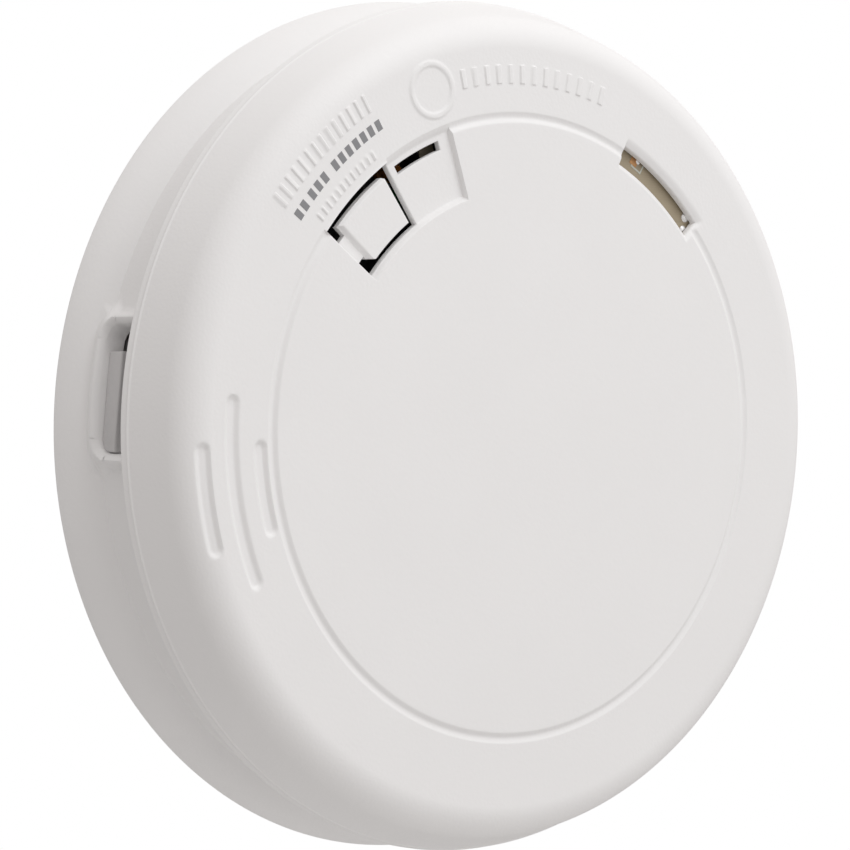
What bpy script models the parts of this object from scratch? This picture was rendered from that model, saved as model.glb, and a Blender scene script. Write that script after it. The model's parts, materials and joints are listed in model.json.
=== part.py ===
"""Low-profile smoke alarm with a sealed battery, locked on its wall bracket.

Every piece is drawn in plan, as it is seen from the room: x to the right, y up and z, called the
height, out of the wall. The empty named plan stands that drawing up against the wall, so that the
face looks along -Y, +Z is up and the wall is the plane Y = 0.
"""

import math

import bmesh
import bpy
from mathutils import Matrix, Vector

MM = 0.001
GAP = 0.3 * MM  # air between two pieces that touch on the real object

# Front cover: radii and heights of its turned profile.
FACE = 32.5 * MM
COVER_WALL = 2.2 * MM
GROOVE_R = 50.0 * MM
GROOVE_HALF_WIDTH = 0.95 * MM
GROOVE_DEPTH = 0.8 * MM
CORNER_START_R = 61.1 * MM
CORNER_RADIUS = 6.0 * MM
CORNER_TURN = 69.0  # degrees between the ring's face and the drafted side wall
RING_DROP = 0.15 * MM
LIP_R = 69.6 * MM
LIP = 20.6 * MM
LIP_WALL = 2.1 * MM
SHELL_STEPS = 72

# Openings and relief in the cover's face: angles in degrees, anticlockwise from +x.
SOUND_SLOT = (48.15 * MM, 51.6 * MM, 41.5, 64.8)
SOUND_BAY = (46.4 * MM, 55.1 * MM, 37.0, 69.0)
SOUND_WALL = 1.85 * MM  # thickness of the face over the bay
POCKET = (38.8 * MM, 50.3 * MM, 107.9, 142.3)
POCKET_DEPTH = 1.2 * MM
LED_SLOT = (47.25 * MM, 48.7 * MM, 110.9, 122.3)
WAVE_GROOVES = ((52.5 * MM, 182.2, 195.9), (57.7 * MM, 175.1, 202.7), (62.8 * MM, 182.0, 195.8))
WAVE_HALF_WIDTH = 1.0 * MM
WAVE_DEPTH = 0.7 * MM
SNAP_ANGLES = (20.0, 100.0, 225.0, 315.0)

# Test button, which bends about the tab on its left side.
BUTTON_HOLE = (39.15 * MM, 50.3 * MM, 123.7, 142.3)
BUTTON = (40.0 * MM, 48.55 * MM, 125.85, 139.6)
BUTTON_TAB = (41.75 * MM, 46.0 * MM, 139.2, 141.8)
BUTTON_TOP = FACE - 0.75 * MM
BUTTON_THICK = 1.4 * MM
BUTTON_BEVEL = 0.45 * MM
TAB_TOP = FACE - 1.45 * MM
TAB_THICK = 1.0 * MM
HINGE_ANGLE = 142.3
HINGE_R = 43.9 * MM
POST_R = 1.4 * MM
POST_FROM_HINGE = 10.0 * MM
POST_CLEARANCE = 0.25 * MM

# Back housing: flange, collar and floor.
COLLAR_R = 66.4 * MM
COLLAR_INNER_R = 64.6 * MM
COLLAR_TOP = FACE - 11.0 * MM
CREASE = FACE - 22.3 * MM
FLANGE_R = 71.0 * MM
FLANGE_TIP = FACE - 28.2 * MM
FLANGE_UNDER_R = 68.6 * MM
FLANGE_INNER_R = 66.6 * MM
FLANGE_EDGE = 0.8 * MM
FLOOR_TOP = 5.4 * MM
FLOOR_BACK = 3.9 * MM

# Side window with its raised bezel, and the power slider in it.
WINDOW_ANGLE = 174.2
WINDOW_HALF = 9.75 * MM
WINDOW_BACK = FACE - 20.6 * MM
BEZEL_OUT = 68.3 * MM
BEZEL_WALL = 2.1 * MM
BEZEL_BACK = FACE - 23.9 * MM
KNOB_OUT = 66.9 * MM
KNOB_LENGTH = 15.4 * MM
KNOB_FRONT = FACE - 16.3 * MM
SLIDER_TRAVEL = 3.5 * MM

# Wall bracket and the three hooks that lock in it.
BRACKET_R = 62.0 * MM
BRACKET_PLATE = 1.6 * MM
BRACKET_RING_TOP = 3.6 * MM
BRACKET_DISC_R = 39.5 * MM
HOOK_ANGLES = (90.0, 210.0, 330.0)
HOOK_R = 51.0 * MM
HOOK_HALF_ANGLE = 3.4
HOOK_STEM_HALF = 1.2 * MM
HOOK_HEAD_HALF = 3.0 * MM
HOOK_HEAD_TOP = 1.7 * MM
TWIST = 15.0
SCREW_SLOT_R = 35.0 * MM
SCREW_SLOT_HALF_WIDTH = 1.9 * MM
SCREW_SLOT_HALF_LENGTH = 6.0 * MM

# Circuit board and what stands on it.
BOARD_R = 58.0 * MM
BOARD_CUT_Y = -21.0 * MM
BOARD_TOP = FACE - 9.0 * MM
BOARD_THICK = 1.6 * MM
BOARD_BACK = BOARD_TOP - BOARD_THICK
ON_BOARD = BOARD_TOP + GAP
UNDER_BOARD = BOARD_BACK - GAP
BOARD_SCREWS = ((47.0 * MM, -8.0 * MM), (-47.0 * MM, -14.0 * MM))
BOSS_R = 3.2 * MM
SCREW_R = 1.2 * MM

# What shows through the cover's slots: indicators, a spacer, and a small board on two headers.
INDICATORS = (
    ("red_led", (46.6 * MM, 118.9), (0.45, 0.03, 0.02, 1)),
    ("green_led", (42.2 * MM, 116.1), (0.05, 0.3, 0.08, 1)),
)
INDICATOR_BASE_R = 1.9 * MM
INDICATOR_R = 1.5 * MM
LED_SPACER = (45.0 * MM, 48.8 * MM, -1.5 * MM, 1.5 * MM)
LED_SPACER_ANGLE = 110.3
LED_SPACER_HEIGHT = 3.6 * MM
SOUNDER_BOARD = (46.9 * MM, 54.6 * MM, 37.5, 68.5)
SOUNDER_BOARD_TOP = FACE - SOUND_WALL - GAP
SOUNDER_BOARD_THICK = 1.0 * MM
SOUNDER_HEADER = (51.8 * MM, 54.2 * MM, -3.0 * MM, 3.0 * MM)
SOUNDER_HEADER_ANGLES = (42.5, 63.5)

CHIPS = (
    ("microcontroller", (-24.0 * MM, -8.0 * MM), 5.0 * MM, 3.0 * MM, 1.7 * MM),
    ("horn_driver_chip", (36.0 * MM, -12.0 * MM), 2.5 * MM, 2.0 * MM, 1.5 * MM),
)
CAPACITOR = (36.0 * MM, 22.0 * MM)
CAPACITOR_R = 4.0 * MM
CAPACITOR_LENGTH = 11.0 * MM
INDUCTOR = (44.0 * MM, 8.0 * MM)
INDUCTOR_R = 4.0 * MM
INDUCTOR_WAIST_R = 3.2 * MM
INDUCTOR_HEIGHT = 6.0 * MM

CHAMBER = (-17.0 * MM, 18.0 * MM)
CHAMBER_R = 20.0 * MM
CHAMBER_FLOOR = 7.2 * MM
OPTICS_ANGLES = (195.0, 315.0)
OPTICS_HEIGHT = 15.6 * MM
OPTICS_R = 2.5 * MM
VANES = 15

HORN = (16.2 * MM, 21.6 * MM)
HORN_R = 19.3 * MM
HORN_WALL = 1.3 * MM
HORN_BOTTOM = 26.0 * MM
HORN_AIM = 53.0
PIEZO_R = 17.5 * MM
CERAMIC_R = 12.5 * MM

BATTERY_R = 8.5 * MM
BATTERY_LENGTH = 34.5 * MM
BATTERY_Y = -33.0 * MM
BATTERY_HEIGHT = FLOOR_TOP + GAP + BATTERY_R

WHITE = (0.83, 0.82, 0.81, 1.0)
BLACK = (0.015, 0.015, 0.017, 1.0)


def clear_scene():
    for obj in list(bpy.data.objects):
        bpy.data.objects.remove(obj, do_unlink=True)


def new_collection(name, parent):
    collection = bpy.data.collections.new(name)
    parent.children.link(collection)
    return collection


def material(name, colour, roughness, metallic=0.0):
    made = bpy.data.materials.new(name)
    made.use_nodes = True
    shader = made.node_tree.nodes["Principled BSDF"]
    shader.inputs["Base Color"].default_value = colour
    shader.inputs["Roughness"].default_value = roughness
    shader.inputs["Metallic"].default_value = metallic
    return made


def add_object(name, mesh, colour=None, roughness=0.5, metallic=0.0):
    """A part of the alarm when it has a colour, and a hidden Boolean tool when it has none."""
    obj = bpy.data.objects.new(name, mesh)
    obj.parent = plan
    if colour is None:
        obj.hide_render = True
        obj.display_type = "WIRE"
        return obj
    alarm_parts.objects.link(obj)
    mesh.materials.append(material(name, colour, roughness, metallic))
    mesh.shade_smooth()
    mesh.set_sharp_from_angle(angle=math.radians(35))
    return obj


def boolean(target, operation, tools):
    """Notes a Boolean. The modifiers come last, because each new outline updates the whole scene."""
    planned_booleans.append((target, operation, tools))


def add_planned_booleans():
    """One modifier for each noted Boolean, whose tools are kept in a collection of their own."""
    for target, operation, tools in planned_booleans:
        group = new_collection(f"{target.name}_{operation.lower()}", cutters)
        for obj in tools:
            group.objects.link(obj)
        modifier = target.modifiers.new(operation.lower(), "BOOLEAN")
        modifier.operation = operation
        modifier.operand_type = "COLLECTION"
        modifier.collection = group
        modifier.solver = "EXACT"


def move_origin(obj, point):
    """The object's origin goes to the point, and its shape stays where it is."""
    obj.data.transform(Matrix.Translation(-Vector(point)))
    obj.location = point


def polar(radius, angle, centre=(0.0, 0.0)):
    turn = math.radians(angle)
    return centre[0] + radius * math.cos(turn), centre[1] + radius * math.sin(turn)


def arc(radius, start, end, steps, centre=(0.0, 0.0)):
    return [polar(radius, start + (end - start) * i / steps, centre) for i in range(steps + 1)]


def sector(inner, outer, start, end, steps=8):
    return arc(outer, start, end, steps) + arc(inner, end, start, steps)


def round_slot(radius, half_width, start, end, steps=10):
    """Plan outline of an arc-shaped slot with round ends."""
    first, last = polar(radius, start), polar(radius, end)
    return (
        arc(radius + half_width, start, end, steps)
        + arc(half_width, end, end + 180, 4, last)[1:-1]
        + arc(radius - half_width, end, start, steps)
        + arc(half_width, start + 180, start + 360, 4, first)[1:-1]
    )


def rounded_box(x_low, x_high, y_low, y_high, radius, steps=3):
    corners = (
        (x_high - radius, y_low + radius, -90),
        (x_high - radius, y_high - radius, 0),
        (x_low + radius, y_high - radius, 90),
        (x_low + radius, y_low + radius, 180),
    )
    return [p for x, y, start in corners for p in arc(radius, start, start + 90, steps, (x, y))]


def prism(outline, low, high):
    """A flat outline extruded from the low height to the high one, as a closed mesh."""
    curve = bpy.data.curves.new("outline", "CURVE")
    curve.dimensions = "2D"
    curve.fill_mode = "BOTH"
    curve.extrude = (high - low) / 2
    spline = curve.splines.new("POLY")
    spline.points.add(len(outline) - 1)
    for point, (x, y) in zip(spline.points, outline):
        point.co = (x, y, 0, 1)
    spline.use_cyclic_u = True
    drawn = bpy.data.objects.new("outline", curve)
    cutters.objects.link(drawn)
    graph = bpy.context.evaluated_depsgraph_get()
    mesh = bpy.data.meshes.new_from_object(drawn.evaluated_get(graph))
    bpy.data.objects.remove(drawn)
    bm = bmesh.new()
    bm.from_mesh(mesh)
    bmesh.ops.remove_doubles(bm, verts=bm.verts, dist=1e-6)
    bmesh.ops.translate(bm, verts=bm.verts, vec=(0, 0, (low + high) / 2))
    bmesh.ops.recalc_face_normals(bm, faces=bm.faces)
    bm.to_mesh(mesh)
    bm.free()
    return mesh


def cylinder(radius, low, high, centre=(0.0, 0.0), sides=20, top_radius=None):
    """A round bar that stands on the plan."""
    mesh = bpy.data.meshes.new("cylinder")
    bm = bmesh.new()
    bmesh.ops.create_cone(
        bm,
        cap_ends=True,
        segments=sides,
        radius1=radius,
        radius2=radius if top_radius is None else top_radius,
        depth=high - low,
        matrix=Matrix.Translation((*centre, (low + high) / 2)),
    )
    bm.to_mesh(mesh)
    bm.free()
    return mesh


def lying_cylinder(radius, start, direction, length, sides=20):
    """A round bar that starts at a point and runs along a direction in the plan."""
    mesh = cylinder(radius, 0, length, sides=sides)
    turn = Vector(direction).to_track_quat("Z", "Y").to_matrix().to_4x4()
    mesh.transform(Matrix.Translation(start) @ turn)
    return mesh


def block(x_low, x_high, y_low, y_high, low, high):
    mesh = bpy.data.meshes.new("block")
    bm = bmesh.new()
    size = Matrix.Diagonal((x_high - x_low, y_high - y_low, high - low, 1))
    middle = Vector((x_low + x_high, y_low + y_high, low + high)) / 2
    bmesh.ops.create_cube(bm, size=1, matrix=Matrix.Translation(middle) @ size)
    bm.to_mesh(mesh)
    bm.free()
    return mesh


def at_angle(mesh, angle, centre=(0.0, 0.0)):
    """Turns a mesh that was drawn along +x to an angle about an axis of the plan."""
    mesh.transform(Matrix.Translation((*centre, 0)) @ Matrix.Rotation(math.radians(angle), 4, "Z"))
    return mesh


def turned(name, profile, steps, colour, roughness):
    """A Screw of a profile that runs from the axis, down the outside and back to the axis."""
    mesh = bpy.data.meshes.new(name)
    bm = bmesh.new()
    points = [bm.verts.new((r, 0, h)) for r, h in profile]
    for first, second in zip(points, points[1:]):
        bm.edges.new((first, second))
    bm.to_mesh(mesh)
    bm.free()
    obj = add_object(name, mesh, colour, roughness)
    screw = obj.modifiers.new("turn", "SCREW")
    screw.steps = steps
    screw.render_steps = steps
    screw.use_merge_vertices = True
    screw.merge_threshold = 1e-5
    screw.use_smooth_shade = True
    return obj


def tool(mesh):
    return add_object("tool", mesh)


# ---- front cover -------------------------------------------------------------------------------


def cover_profile():
    groove = [
        (GROOVE_R + GROOVE_HALF_WIDTH * x, FACE - GROOVE_DEPTH * depth)
        for x, depth in ((-1, 0), (-0.5, 0.75), (0, 1), (0.5, 0.75), (1, 0))
    ]
    corner_height = FACE - RING_DROP
    corner = [
        (
            CORNER_START_R + CORNER_RADIUS * math.sin(math.radians(CORNER_TURN * i / 6)),
            corner_height - CORNER_RADIUS * (1 - math.cos(math.radians(CORNER_TURN * i / 6))),
        )
        for i in range(7)
    ]
    lip = [(LIP_R, LIP + 0.4 * MM), (LIP_R - 0.3 * MM, LIP), (LIP_R - LIP_WALL, LIP)]
    inside = [
        (corner[-1][0] - 1.2 * MM, corner[-1][1] - 1.6 * MM),
        (CORNER_START_R + 1.6 * MM, FACE - COVER_WALL - 0.9 * MM),
        (CORNER_START_R - 0.6 * MM, FACE - COVER_WALL),
        (0, FACE - COVER_WALL),
    ]
    return [(0, FACE)] + groove + corner + lip + inside


def snap_tabs():
    """Four legs with a barb, which clip behind the ledges inside the collar."""
    tabs = []
    for angle in SNAP_ANGLES:
        leg = block(60 * MM, 61.6 * MM, -4 * MM, 4 * MM, FACE - 17 * MM, FACE - 1.5 * MM)
        shoulder = block(61 * MM, 62.9 * MM, -2 * MM, 2 * MM, FACE - 11.7 * MM, FACE - 1.5 * MM)
        barb = block(61 * MM, 62.9 * MM, -3.9 * MM, 3.9 * MM, FACE - 16.9 * MM, FACE - 14.9 * MM)
        tabs += [tool(at_angle(mesh, angle)) for mesh in (leg, shoulder, barb)]
    return tabs


def make_cover():
    cover = turned("front_cover", cover_profile(), SHELL_STEPS, WHITE, 0.5)
    boolean(cover, "UNION", snap_tabs())
    over = FACE + 1 * MM
    under = FACE - 5 * MM
    cuts = [
        prism(sector(*SOUND_SLOT), under, over),
        prism(sector(*SOUND_BAY), under, FACE - SOUND_WALL),
        prism(sector(*POCKET), FACE - POCKET_DEPTH, over),
        prism(sector(*BUTTON_HOLE), under, over),
        prism(sector(*LED_SLOT), under, over),
    ]
    for radius, wave_start, wave_end in WAVE_GROOVES:
        cuts.append(prism(round_slot(radius, WAVE_HALF_WIDTH, wave_start, wave_end), FACE - WAVE_DEPTH, over))
    boolean(cover, "DIFFERENCE", [tool(mesh) for mesh in cuts])


# ---- test button and its switch ----------------------------------------------------------------


def post_centre():
    from_hinge = math.degrees(math.asin(POST_FROM_HINGE / HINGE_R))
    return polar(HINGE_R, HINGE_ANGLE - from_hinge)


def make_test_button():
    mesh = prism(sector(*BUTTON), BUTTON_TOP - BUTTON_THICK, BUTTON_TOP)
    bm = bmesh.new()
    bm.from_mesh(mesh)
    rim = BUTTON_TOP - 1e-6
    top = [e for e in bm.edges if min(v.co.z for v in e.verts) > rim and e.calc_face_angle(0) > 1]
    bmesh.ops.bevel(bm, geom=top, offset=BUTTON_BEVEL, segments=1, profile=0.5, affect="EDGES")
    bm.to_mesh(mesh)
    bm.free()
    button = add_object("test_button", mesh, WHITE, 0.5)
    tab = prism(sector(*BUTTON_TAB, steps=3), TAB_TOP - TAB_THICK, TAB_TOP)
    post_low = SWITCH_TOP + POST_CLEARANCE
    post = cylinder(POST_R, post_low, BUTTON_TOP - BUTTON_THICK / 2, post_centre(), sides=16)
    move_origin(button, (*polar(HINGE_R, HINGE_ANGLE), TAB_TOP - TAB_THICK / 2))
    boolean(button, "UNION", [tool(tab), tool(post)])


SWITCH_HALF = 3.0 * MM
SWITCH_BODY_TOP = ON_BOARD + 3.2 * MM
SWITCH_TOP = SWITCH_BODY_TOP + 0.9 * MM
PLUNGER_R = 1.6 * MM


def make_tact_switch():
    x, y = post_centre()
    body_mesh = block(-SWITCH_HALF, SWITCH_HALF, -SWITCH_HALF, SWITCH_HALF, ON_BOARD, SWITCH_BODY_TOP)
    body = add_object("tact_switch_body", at_angle(body_mesh, HINGE_ANGLE, (x, y)), BLACK, 0.4)
    plunger_low = SWITCH_BODY_TOP - 1.2 * MM
    well = cylinder(PLUNGER_R + GAP, plunger_low - GAP - 0.3 * MM, FACE, (x, y), sides=16)
    boolean(body, "DIFFERENCE", [tool(well)])
    plunger = cylinder(PLUNGER_R, plunger_low, SWITCH_TOP, (x, y), sides=16)
    plunger_obj = add_object("tact_switch_plunger", plunger, (0.45, 0.06, 0.04, 1), 0.4)
    move_origin(plunger_obj, (x, y, plunger_low))


# ---- back housing ------------------------------------------------------------------------------


def housing_profile():
    flange = []
    control = (FLANGE_R - 1.0 * MM, CREASE - 2.7 * MM)
    foot = (FLANGE_R, FLANGE_TIP)
    for i in range(7):
        t = i / 6
        flange.append(
            tuple(
                (1 - t) ** 2 * a + 2 * t * (1 - t) * b + t * t * c
                for a, b, c in zip((COLLAR_R, CREASE), control, foot)
            )
        )
    outside = [
        (COLLAR_R - 0.4 * MM, COLLAR_TOP),
        (COLLAR_R, COLLAR_TOP - 0.4 * MM),
        *flange,
        (FLANGE_R - 0.6 * MM, FLANGE_TIP - 0.9 * MM),
        (FLANGE_UNDER_R, FLANGE_EDGE + 0.4 * MM),
        (FLANGE_UNDER_R - 0.5 * MM, FLANGE_EDGE),
        (FLANGE_INNER_R + 0.3 * MM, FLANGE_EDGE),
        (FLANGE_INNER_R, FLOOR_BACK),
        (0, FLOOR_BACK),
    ]
    inside = [
        (0, FLOOR_TOP),
        (COLLAR_R + 0.2 * MM, FLOOR_TOP),
        (COLLAR_R + 0.9 * MM, FLOOR_TOP + 0.7 * MM),
        (COLLAR_INNER_R, CREASE + 0.4 * MM),
        (COLLAR_INNER_R, COLLAR_TOP),
    ]
    return inside + outside


def board_bosses():
    return [cylinder(BOSS_R, FLOOR_TOP - 0.7 * MM, UNDER_BOARD, centre, sides=16) for centre in BOARD_SCREWS]


def battery_saddles():
    saddles = []
    for x in (-11 * MM, 11 * MM):
        top = BATTERY_HEIGHT - 2 * MM
        reach = BATTERY_R + 2 * MM
        low, high = BATTERY_Y - reach, BATTERY_Y + reach
        saddle = block(x - 1 * MM, x + 1 * MM, low, high, FLOOR_TOP - 0.7 * MM, top)
        saddles.append(saddle)
    return saddles


def snap_ledges():
    low = FACE - 14.6 * MM
    high = FACE - 12.0 * MM
    return [
        at_angle(block(61.9 * MM, COLLAR_INNER_R + 1 * MM, -5 * MM, 5 * MM, low, high), angle)
        for angle in SNAP_ANGLES
    ]


def slider_guides():
    guides = []
    for y in (-10 * MM, 10 * MM):
        rail = block(59.9 * MM, 61.5 * MM, y - 1 * MM, y + 1 * MM, FLOOR_TOP - 0.7 * MM, 18 * MM)
        guides.append(at_angle(rail, WINDOW_ANGLE))
    return guides


def radial_prism(outline, low_radius, high_radius):
    """A prism whose outline lies in the plane of (along the rim, height) and runs out from the axis."""
    mesh = prism(outline, low_radius, high_radius)
    # Outline x becomes the local y, outline y the height, and the extrusion runs along +x.
    mesh.transform(Matrix(((0, 0, 1, 0), (1, 0, 0, 0), (0, 1, 0, 0), (0, 0, 0, 1))))
    return at_angle(mesh, WINDOW_ANGLE)


def window_bezel():
    """The raised U around the side window, open towards the cover's lip."""
    reach = WINDOW_HALF + BEZEL_WALL
    outline = rounded_box(-reach, reach, BEZEL_BACK, LIP - GAP + 4 * MM, 3.6 * MM, steps=4)
    rim = LIP - GAP
    outline = [(x, min(y, rim)) for x, y in outline]
    kept = [p for i, p in enumerate(outline) if p != outline[i - 1]]
    mesh = radial_prism(kept, COLLAR_INNER_R + 0.3 * MM, BEZEL_OUT)
    bm = bmesh.new()
    bm.from_mesh(mesh)
    axis = Vector((*polar(1, WINDOW_ANGLE), 0))
    outer = [
        e
        for e in bm.edges
        if all(v.co.dot(axis) > BEZEL_OUT - 1e-6 for v in e.verts)
        and e.calc_face_angle(0) > 1
        and min(v.co.z for v in e.verts) < rim - 1e-6
    ]
    bmesh.ops.bevel(bm, geom=outer, offset=0.9 * MM, segments=2, profile=0.5, affect="EDGES")
    bm.to_mesh(mesh)
    bm.free()
    return mesh


def window_hole():
    outline = rounded_box(-WINDOW_HALF, WINDOW_HALF, WINDOW_BACK, COLLAR_TOP + 5 * MM, 1.8 * MM)
    return radial_prism(outline, COLLAR_INNER_R - 2.5 * MM, BEZEL_OUT + 2 * MM)


def twist_hooks():
    hooks = []
    for angle in HOOK_ANGLES:
        start, end = angle - HOOK_HALF_ANGLE, angle + HOOK_HALF_ANGLE
        stem = sector(HOOK_R - HOOK_STEM_HALF, HOOK_R + HOOK_STEM_HALF, start, end, steps=3)
        head = sector(HOOK_R - HOOK_HEAD_HALF, HOOK_R + HOOK_HEAD_HALF, start, end, steps=3)
        hooks.append(prism(stem, HOOK_HEAD_TOP - 0.4 * MM, FLOOR_BACK + 0.7 * MM))
        hooks.append(prism(head, GAP, HOOK_HEAD_TOP))
    return hooks


def make_housing():
    housing = turned("back_housing", housing_profile(), SHELL_STEPS, WHITE, 0.5)
    # The profile ends where it began, so the turned mesh is a closed ring with a floor.
    added = board_bosses() + battery_saddles() + snap_ledges() + slider_guides() + [window_bezel()]
    boolean(housing, "UNION", [tool(mesh) for mesh in added + twist_hooks()])
    pilots = [cylinder(SCREW_R + GAP, 10 * MM, FACE, centre, sides=12) for centre in BOARD_SCREWS]
    saddle_start = (-BATTERY_LENGTH / 2 - 1 * MM, BATTERY_Y, BATTERY_HEIGHT)
    bed = lying_cylinder(BATTERY_R + GAP, saddle_start, (1, 0, 0), BATTERY_LENGTH + 2 * MM, sides=32)
    boolean(housing, "DIFFERENCE", [tool(mesh) for mesh in pilots + [bed, window_hole()]])


# ---- wall bracket ------------------------------------------------------------------------------


def bracket_profile():
    ring_low = BRACKET_RING_TOP - BRACKET_PLATE
    step = 2.0 * MM
    return [
        (0, BRACKET_PLATE),
        (BRACKET_DISC_R, BRACKET_PLATE),
        (BRACKET_DISC_R + step, BRACKET_RING_TOP),
        (BRACKET_R - 0.5 * MM, BRACKET_RING_TOP),
        (BRACKET_R, BRACKET_RING_TOP - 0.5 * MM),
        (BRACKET_R, 0),
        (BRACKET_R - 1.5 * MM, 0),
        (BRACKET_R - 1.5 * MM, ring_low),
        (BRACKET_DISC_R + step + 0.8 * MM, ring_low),
        (BRACKET_DISC_R + 0.8 * MM, 0),
        (0, 0),
    ]


def bayonet_slots():
    """Each has a wide end that a hook's head goes in by, and a narrow end that it locks behind."""
    slots = []
    for angle in HOOK_ANGLES:
        narrow = HOOK_STEM_HALF + 0.4 * MM
        wide = HOOK_HEAD_HALF + 0.5 * MM
        entry = angle + TWIST
        margin = 1.2
        slots.append(sector(HOOK_R - narrow, HOOK_R + narrow, angle - HOOK_HALF_ANGLE - 0.5, entry, steps=5))
        slots.append(
            sector(
                HOOK_R - wide,
                HOOK_R + wide,
                entry - HOOK_HALF_ANGLE - margin,
                entry + HOOK_HALF_ANGLE + margin,
                steps=4,
            )
        )
    return [prism(outline, -1 * MM, BRACKET_RING_TOP + 1 * MM) for outline in slots]


def screw_slots():
    """Two straight slots for the wall screws, one level and one upright, 70 mm apart."""
    slots = []
    half = SCREW_SLOT_HALF_LENGTH
    wide = SCREW_SLOT_HALF_WIDTH
    outline = rounded_box(-wide, wide, -half, half, wide - 1e-5)
    for angle in (180.0, 0.0):
        mesh = prism(outline, -1 * MM, BRACKET_PLATE + 1 * MM)
        if angle == 180.0:
            mesh.transform(Matrix.Rotation(math.radians(90), 4, "Z"))
        mesh.transform(Matrix.Translation((SCREW_SLOT_R * math.cos(math.radians(angle)), 0, 0)))
        slots.append(mesh)
    return slots


def make_bracket():
    bracket = turned("mounting_bracket", bracket_profile(), 60, WHITE, 0.55)
    boolean(bracket, "DIFFERENCE", [tool(mesh) for mesh in bayonet_slots() + screw_slots()])


def make_rating_label():
    outline = rounded_box(-24 * MM, 24 * MM, -17 * MM, 17 * MM, 2 * MM)
    label = prism(outline, FLOOR_BACK - GAP - 0.2 * MM, FLOOR_BACK - GAP)
    add_object("rating_label", label, (0.75, 0.75, 0.74, 1), 0.6)


# ---- power slider and its switch ---------------------------------------------------------------

RETAINER_OUT = 63.1 * MM
RETAINER_IN = 61.8 * MM
LEVER_Y = 2.0 * MM
LEVER_HALF = 1.3 * MM
SWITCH_SLOT_HEIGHT = 18.6 * MM


def slider_block(x_low, x_high, y_low, y_high, low, high):
    """A block by the side window: x runs out from the axis, and y runs down along the rim."""
    return at_angle(block(x_low, x_high, y_low, y_high, low, high), WINDOW_ANGLE)


def make_power_slider():
    knob_low = WINDOW_BACK + GAP
    knob_foot = WINDOW_HALF - GAP
    knob_outline = rounded_box(knob_foot - KNOB_LENGTH, knob_foot, knob_low, KNOB_FRONT, 1.5 * MM)
    knob = radial_prism(knob_outline, RETAINER_IN + 0.3 * MM, KNOB_OUT)
    slider = add_object("power_slider", knob, (0.42, 0.42, 0.42, 1), 0.5)
    retainer_low = FLOOR_TOP + 3 * MM
    retainer = slider_block(RETAINER_IN, RETAINER_OUT, -8 * MM, 12 * MM, retainer_low, SWITCH_SLOT_HEIGHT)
    prongs = []
    for side in (-1, 1):
        middle = LEVER_Y + side * (LEVER_HALF + GAP + 0.8 * MM)
        prongs.append(
            slider_block(
                56.9 * MM,
                RETAINER_IN + 0.5 * MM,
                middle - 0.8 * MM,
                middle + 0.8 * MM,
                SWITCH_SLOT_HEIGHT - 2 * MM,
                SWITCH_SLOT_HEIGHT - 0.2 * MM,
            )
        )
    move_origin(slider, (*polar(KNOB_OUT, WINDOW_ANGLE), (knob_low + KNOB_FRONT) / 2))
    boolean(slider, "UNION", [tool(mesh) for mesh in [retainer] + prongs])


def make_power_switch():
    body_mesh = slider_block(50 * MM, 56 * MM, -6.5 * MM, 6.5 * MM, 15.2 * MM, UNDER_BOARD)
    body = add_object("power_switch_body", body_mesh, (0.05, 0.05, 0.055, 1), 0.4)
    slot_low = SWITCH_SLOT_HEIGHT - 1.9 * MM
    slot_high = SWITCH_SLOT_HEIGHT - 0.1 * MM
    slot_start = LEVER_Y - LEVER_HALF - SLIDER_TRAVEL - GAP
    slot_end = LEVER_Y + LEVER_HALF + GAP
    slot = slider_block(53.4 * MM, 57 * MM, slot_start, slot_end, slot_low, slot_high)
    boolean(body, "DIFFERENCE", [tool(slot)])
    lever = slider_block(
        53.8 * MM,
        60 * MM,
        LEVER_Y - LEVER_HALF,
        LEVER_Y + LEVER_HALF,
        slot_low + GAP,
        slot_high - GAP,
    )
    add_object("power_switch_lever", lever, (0.6, 0.6, 0.58, 1), 0.4)


# ---- circuit board and its parts ---------------------------------------------------------------


def make_board():
    """A round board with its lower part cut away for the battery."""
    cut_angle = math.degrees(math.asin(BOARD_CUT_Y / BOARD_R))
    outline = arc(BOARD_R, cut_angle, 180 - cut_angle, 40)
    board = add_object("circuit_board", prism(outline, BOARD_BACK, BOARD_TOP), (0.16, 0.13, 0.06, 1), 0.45)
    holes = [cylinder(SCREW_R + 0.4 * MM, BOARD_BACK - MM, ON_BOARD + MM, c, sides=12) for c in BOARD_SCREWS]
    boolean(board, "DIFFERENCE", [tool(mesh) for mesh in holes])


def make_board_screws():
    for number, centre in enumerate(BOARD_SCREWS, start=1):
        head = cylinder(2.8 * MM, ON_BOARD, ON_BOARD + 1.8 * MM, centre, sides=16, top_radius=2.0 * MM)
        screw = add_object(f"board_screw_{number}", head, (0.6, 0.6, 0.62, 1), 0.3, 1.0)
        shank = cylinder(SCREW_R, 11 * MM, ON_BOARD + 0.5 * MM, centre, sides=12)
        boolean(screw, "UNION", [tool(shank)])
        recess = [
            at_angle(
                block(
                    -1.2 * MM,
                    1.2 * MM,
                    -0.25 * MM,
                    0.25 * MM,
                    ON_BOARD + 0.9 * MM,
                    ON_BOARD + 3 * MM,
                ),
                angle,
                centre,
            )
            for angle in (0, 90)
        ]
        boolean(screw, "DIFFERENCE", [tool(mesh) for mesh in recess])


def make_chip(name, centre, half_x, half_y, height):
    x, y = centre
    mesh = block(x - half_x, x + half_x, y - half_y, y + half_y, ON_BOARD, ON_BOARD + height)
    add_object(name, mesh, BLACK, 0.35)


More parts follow.
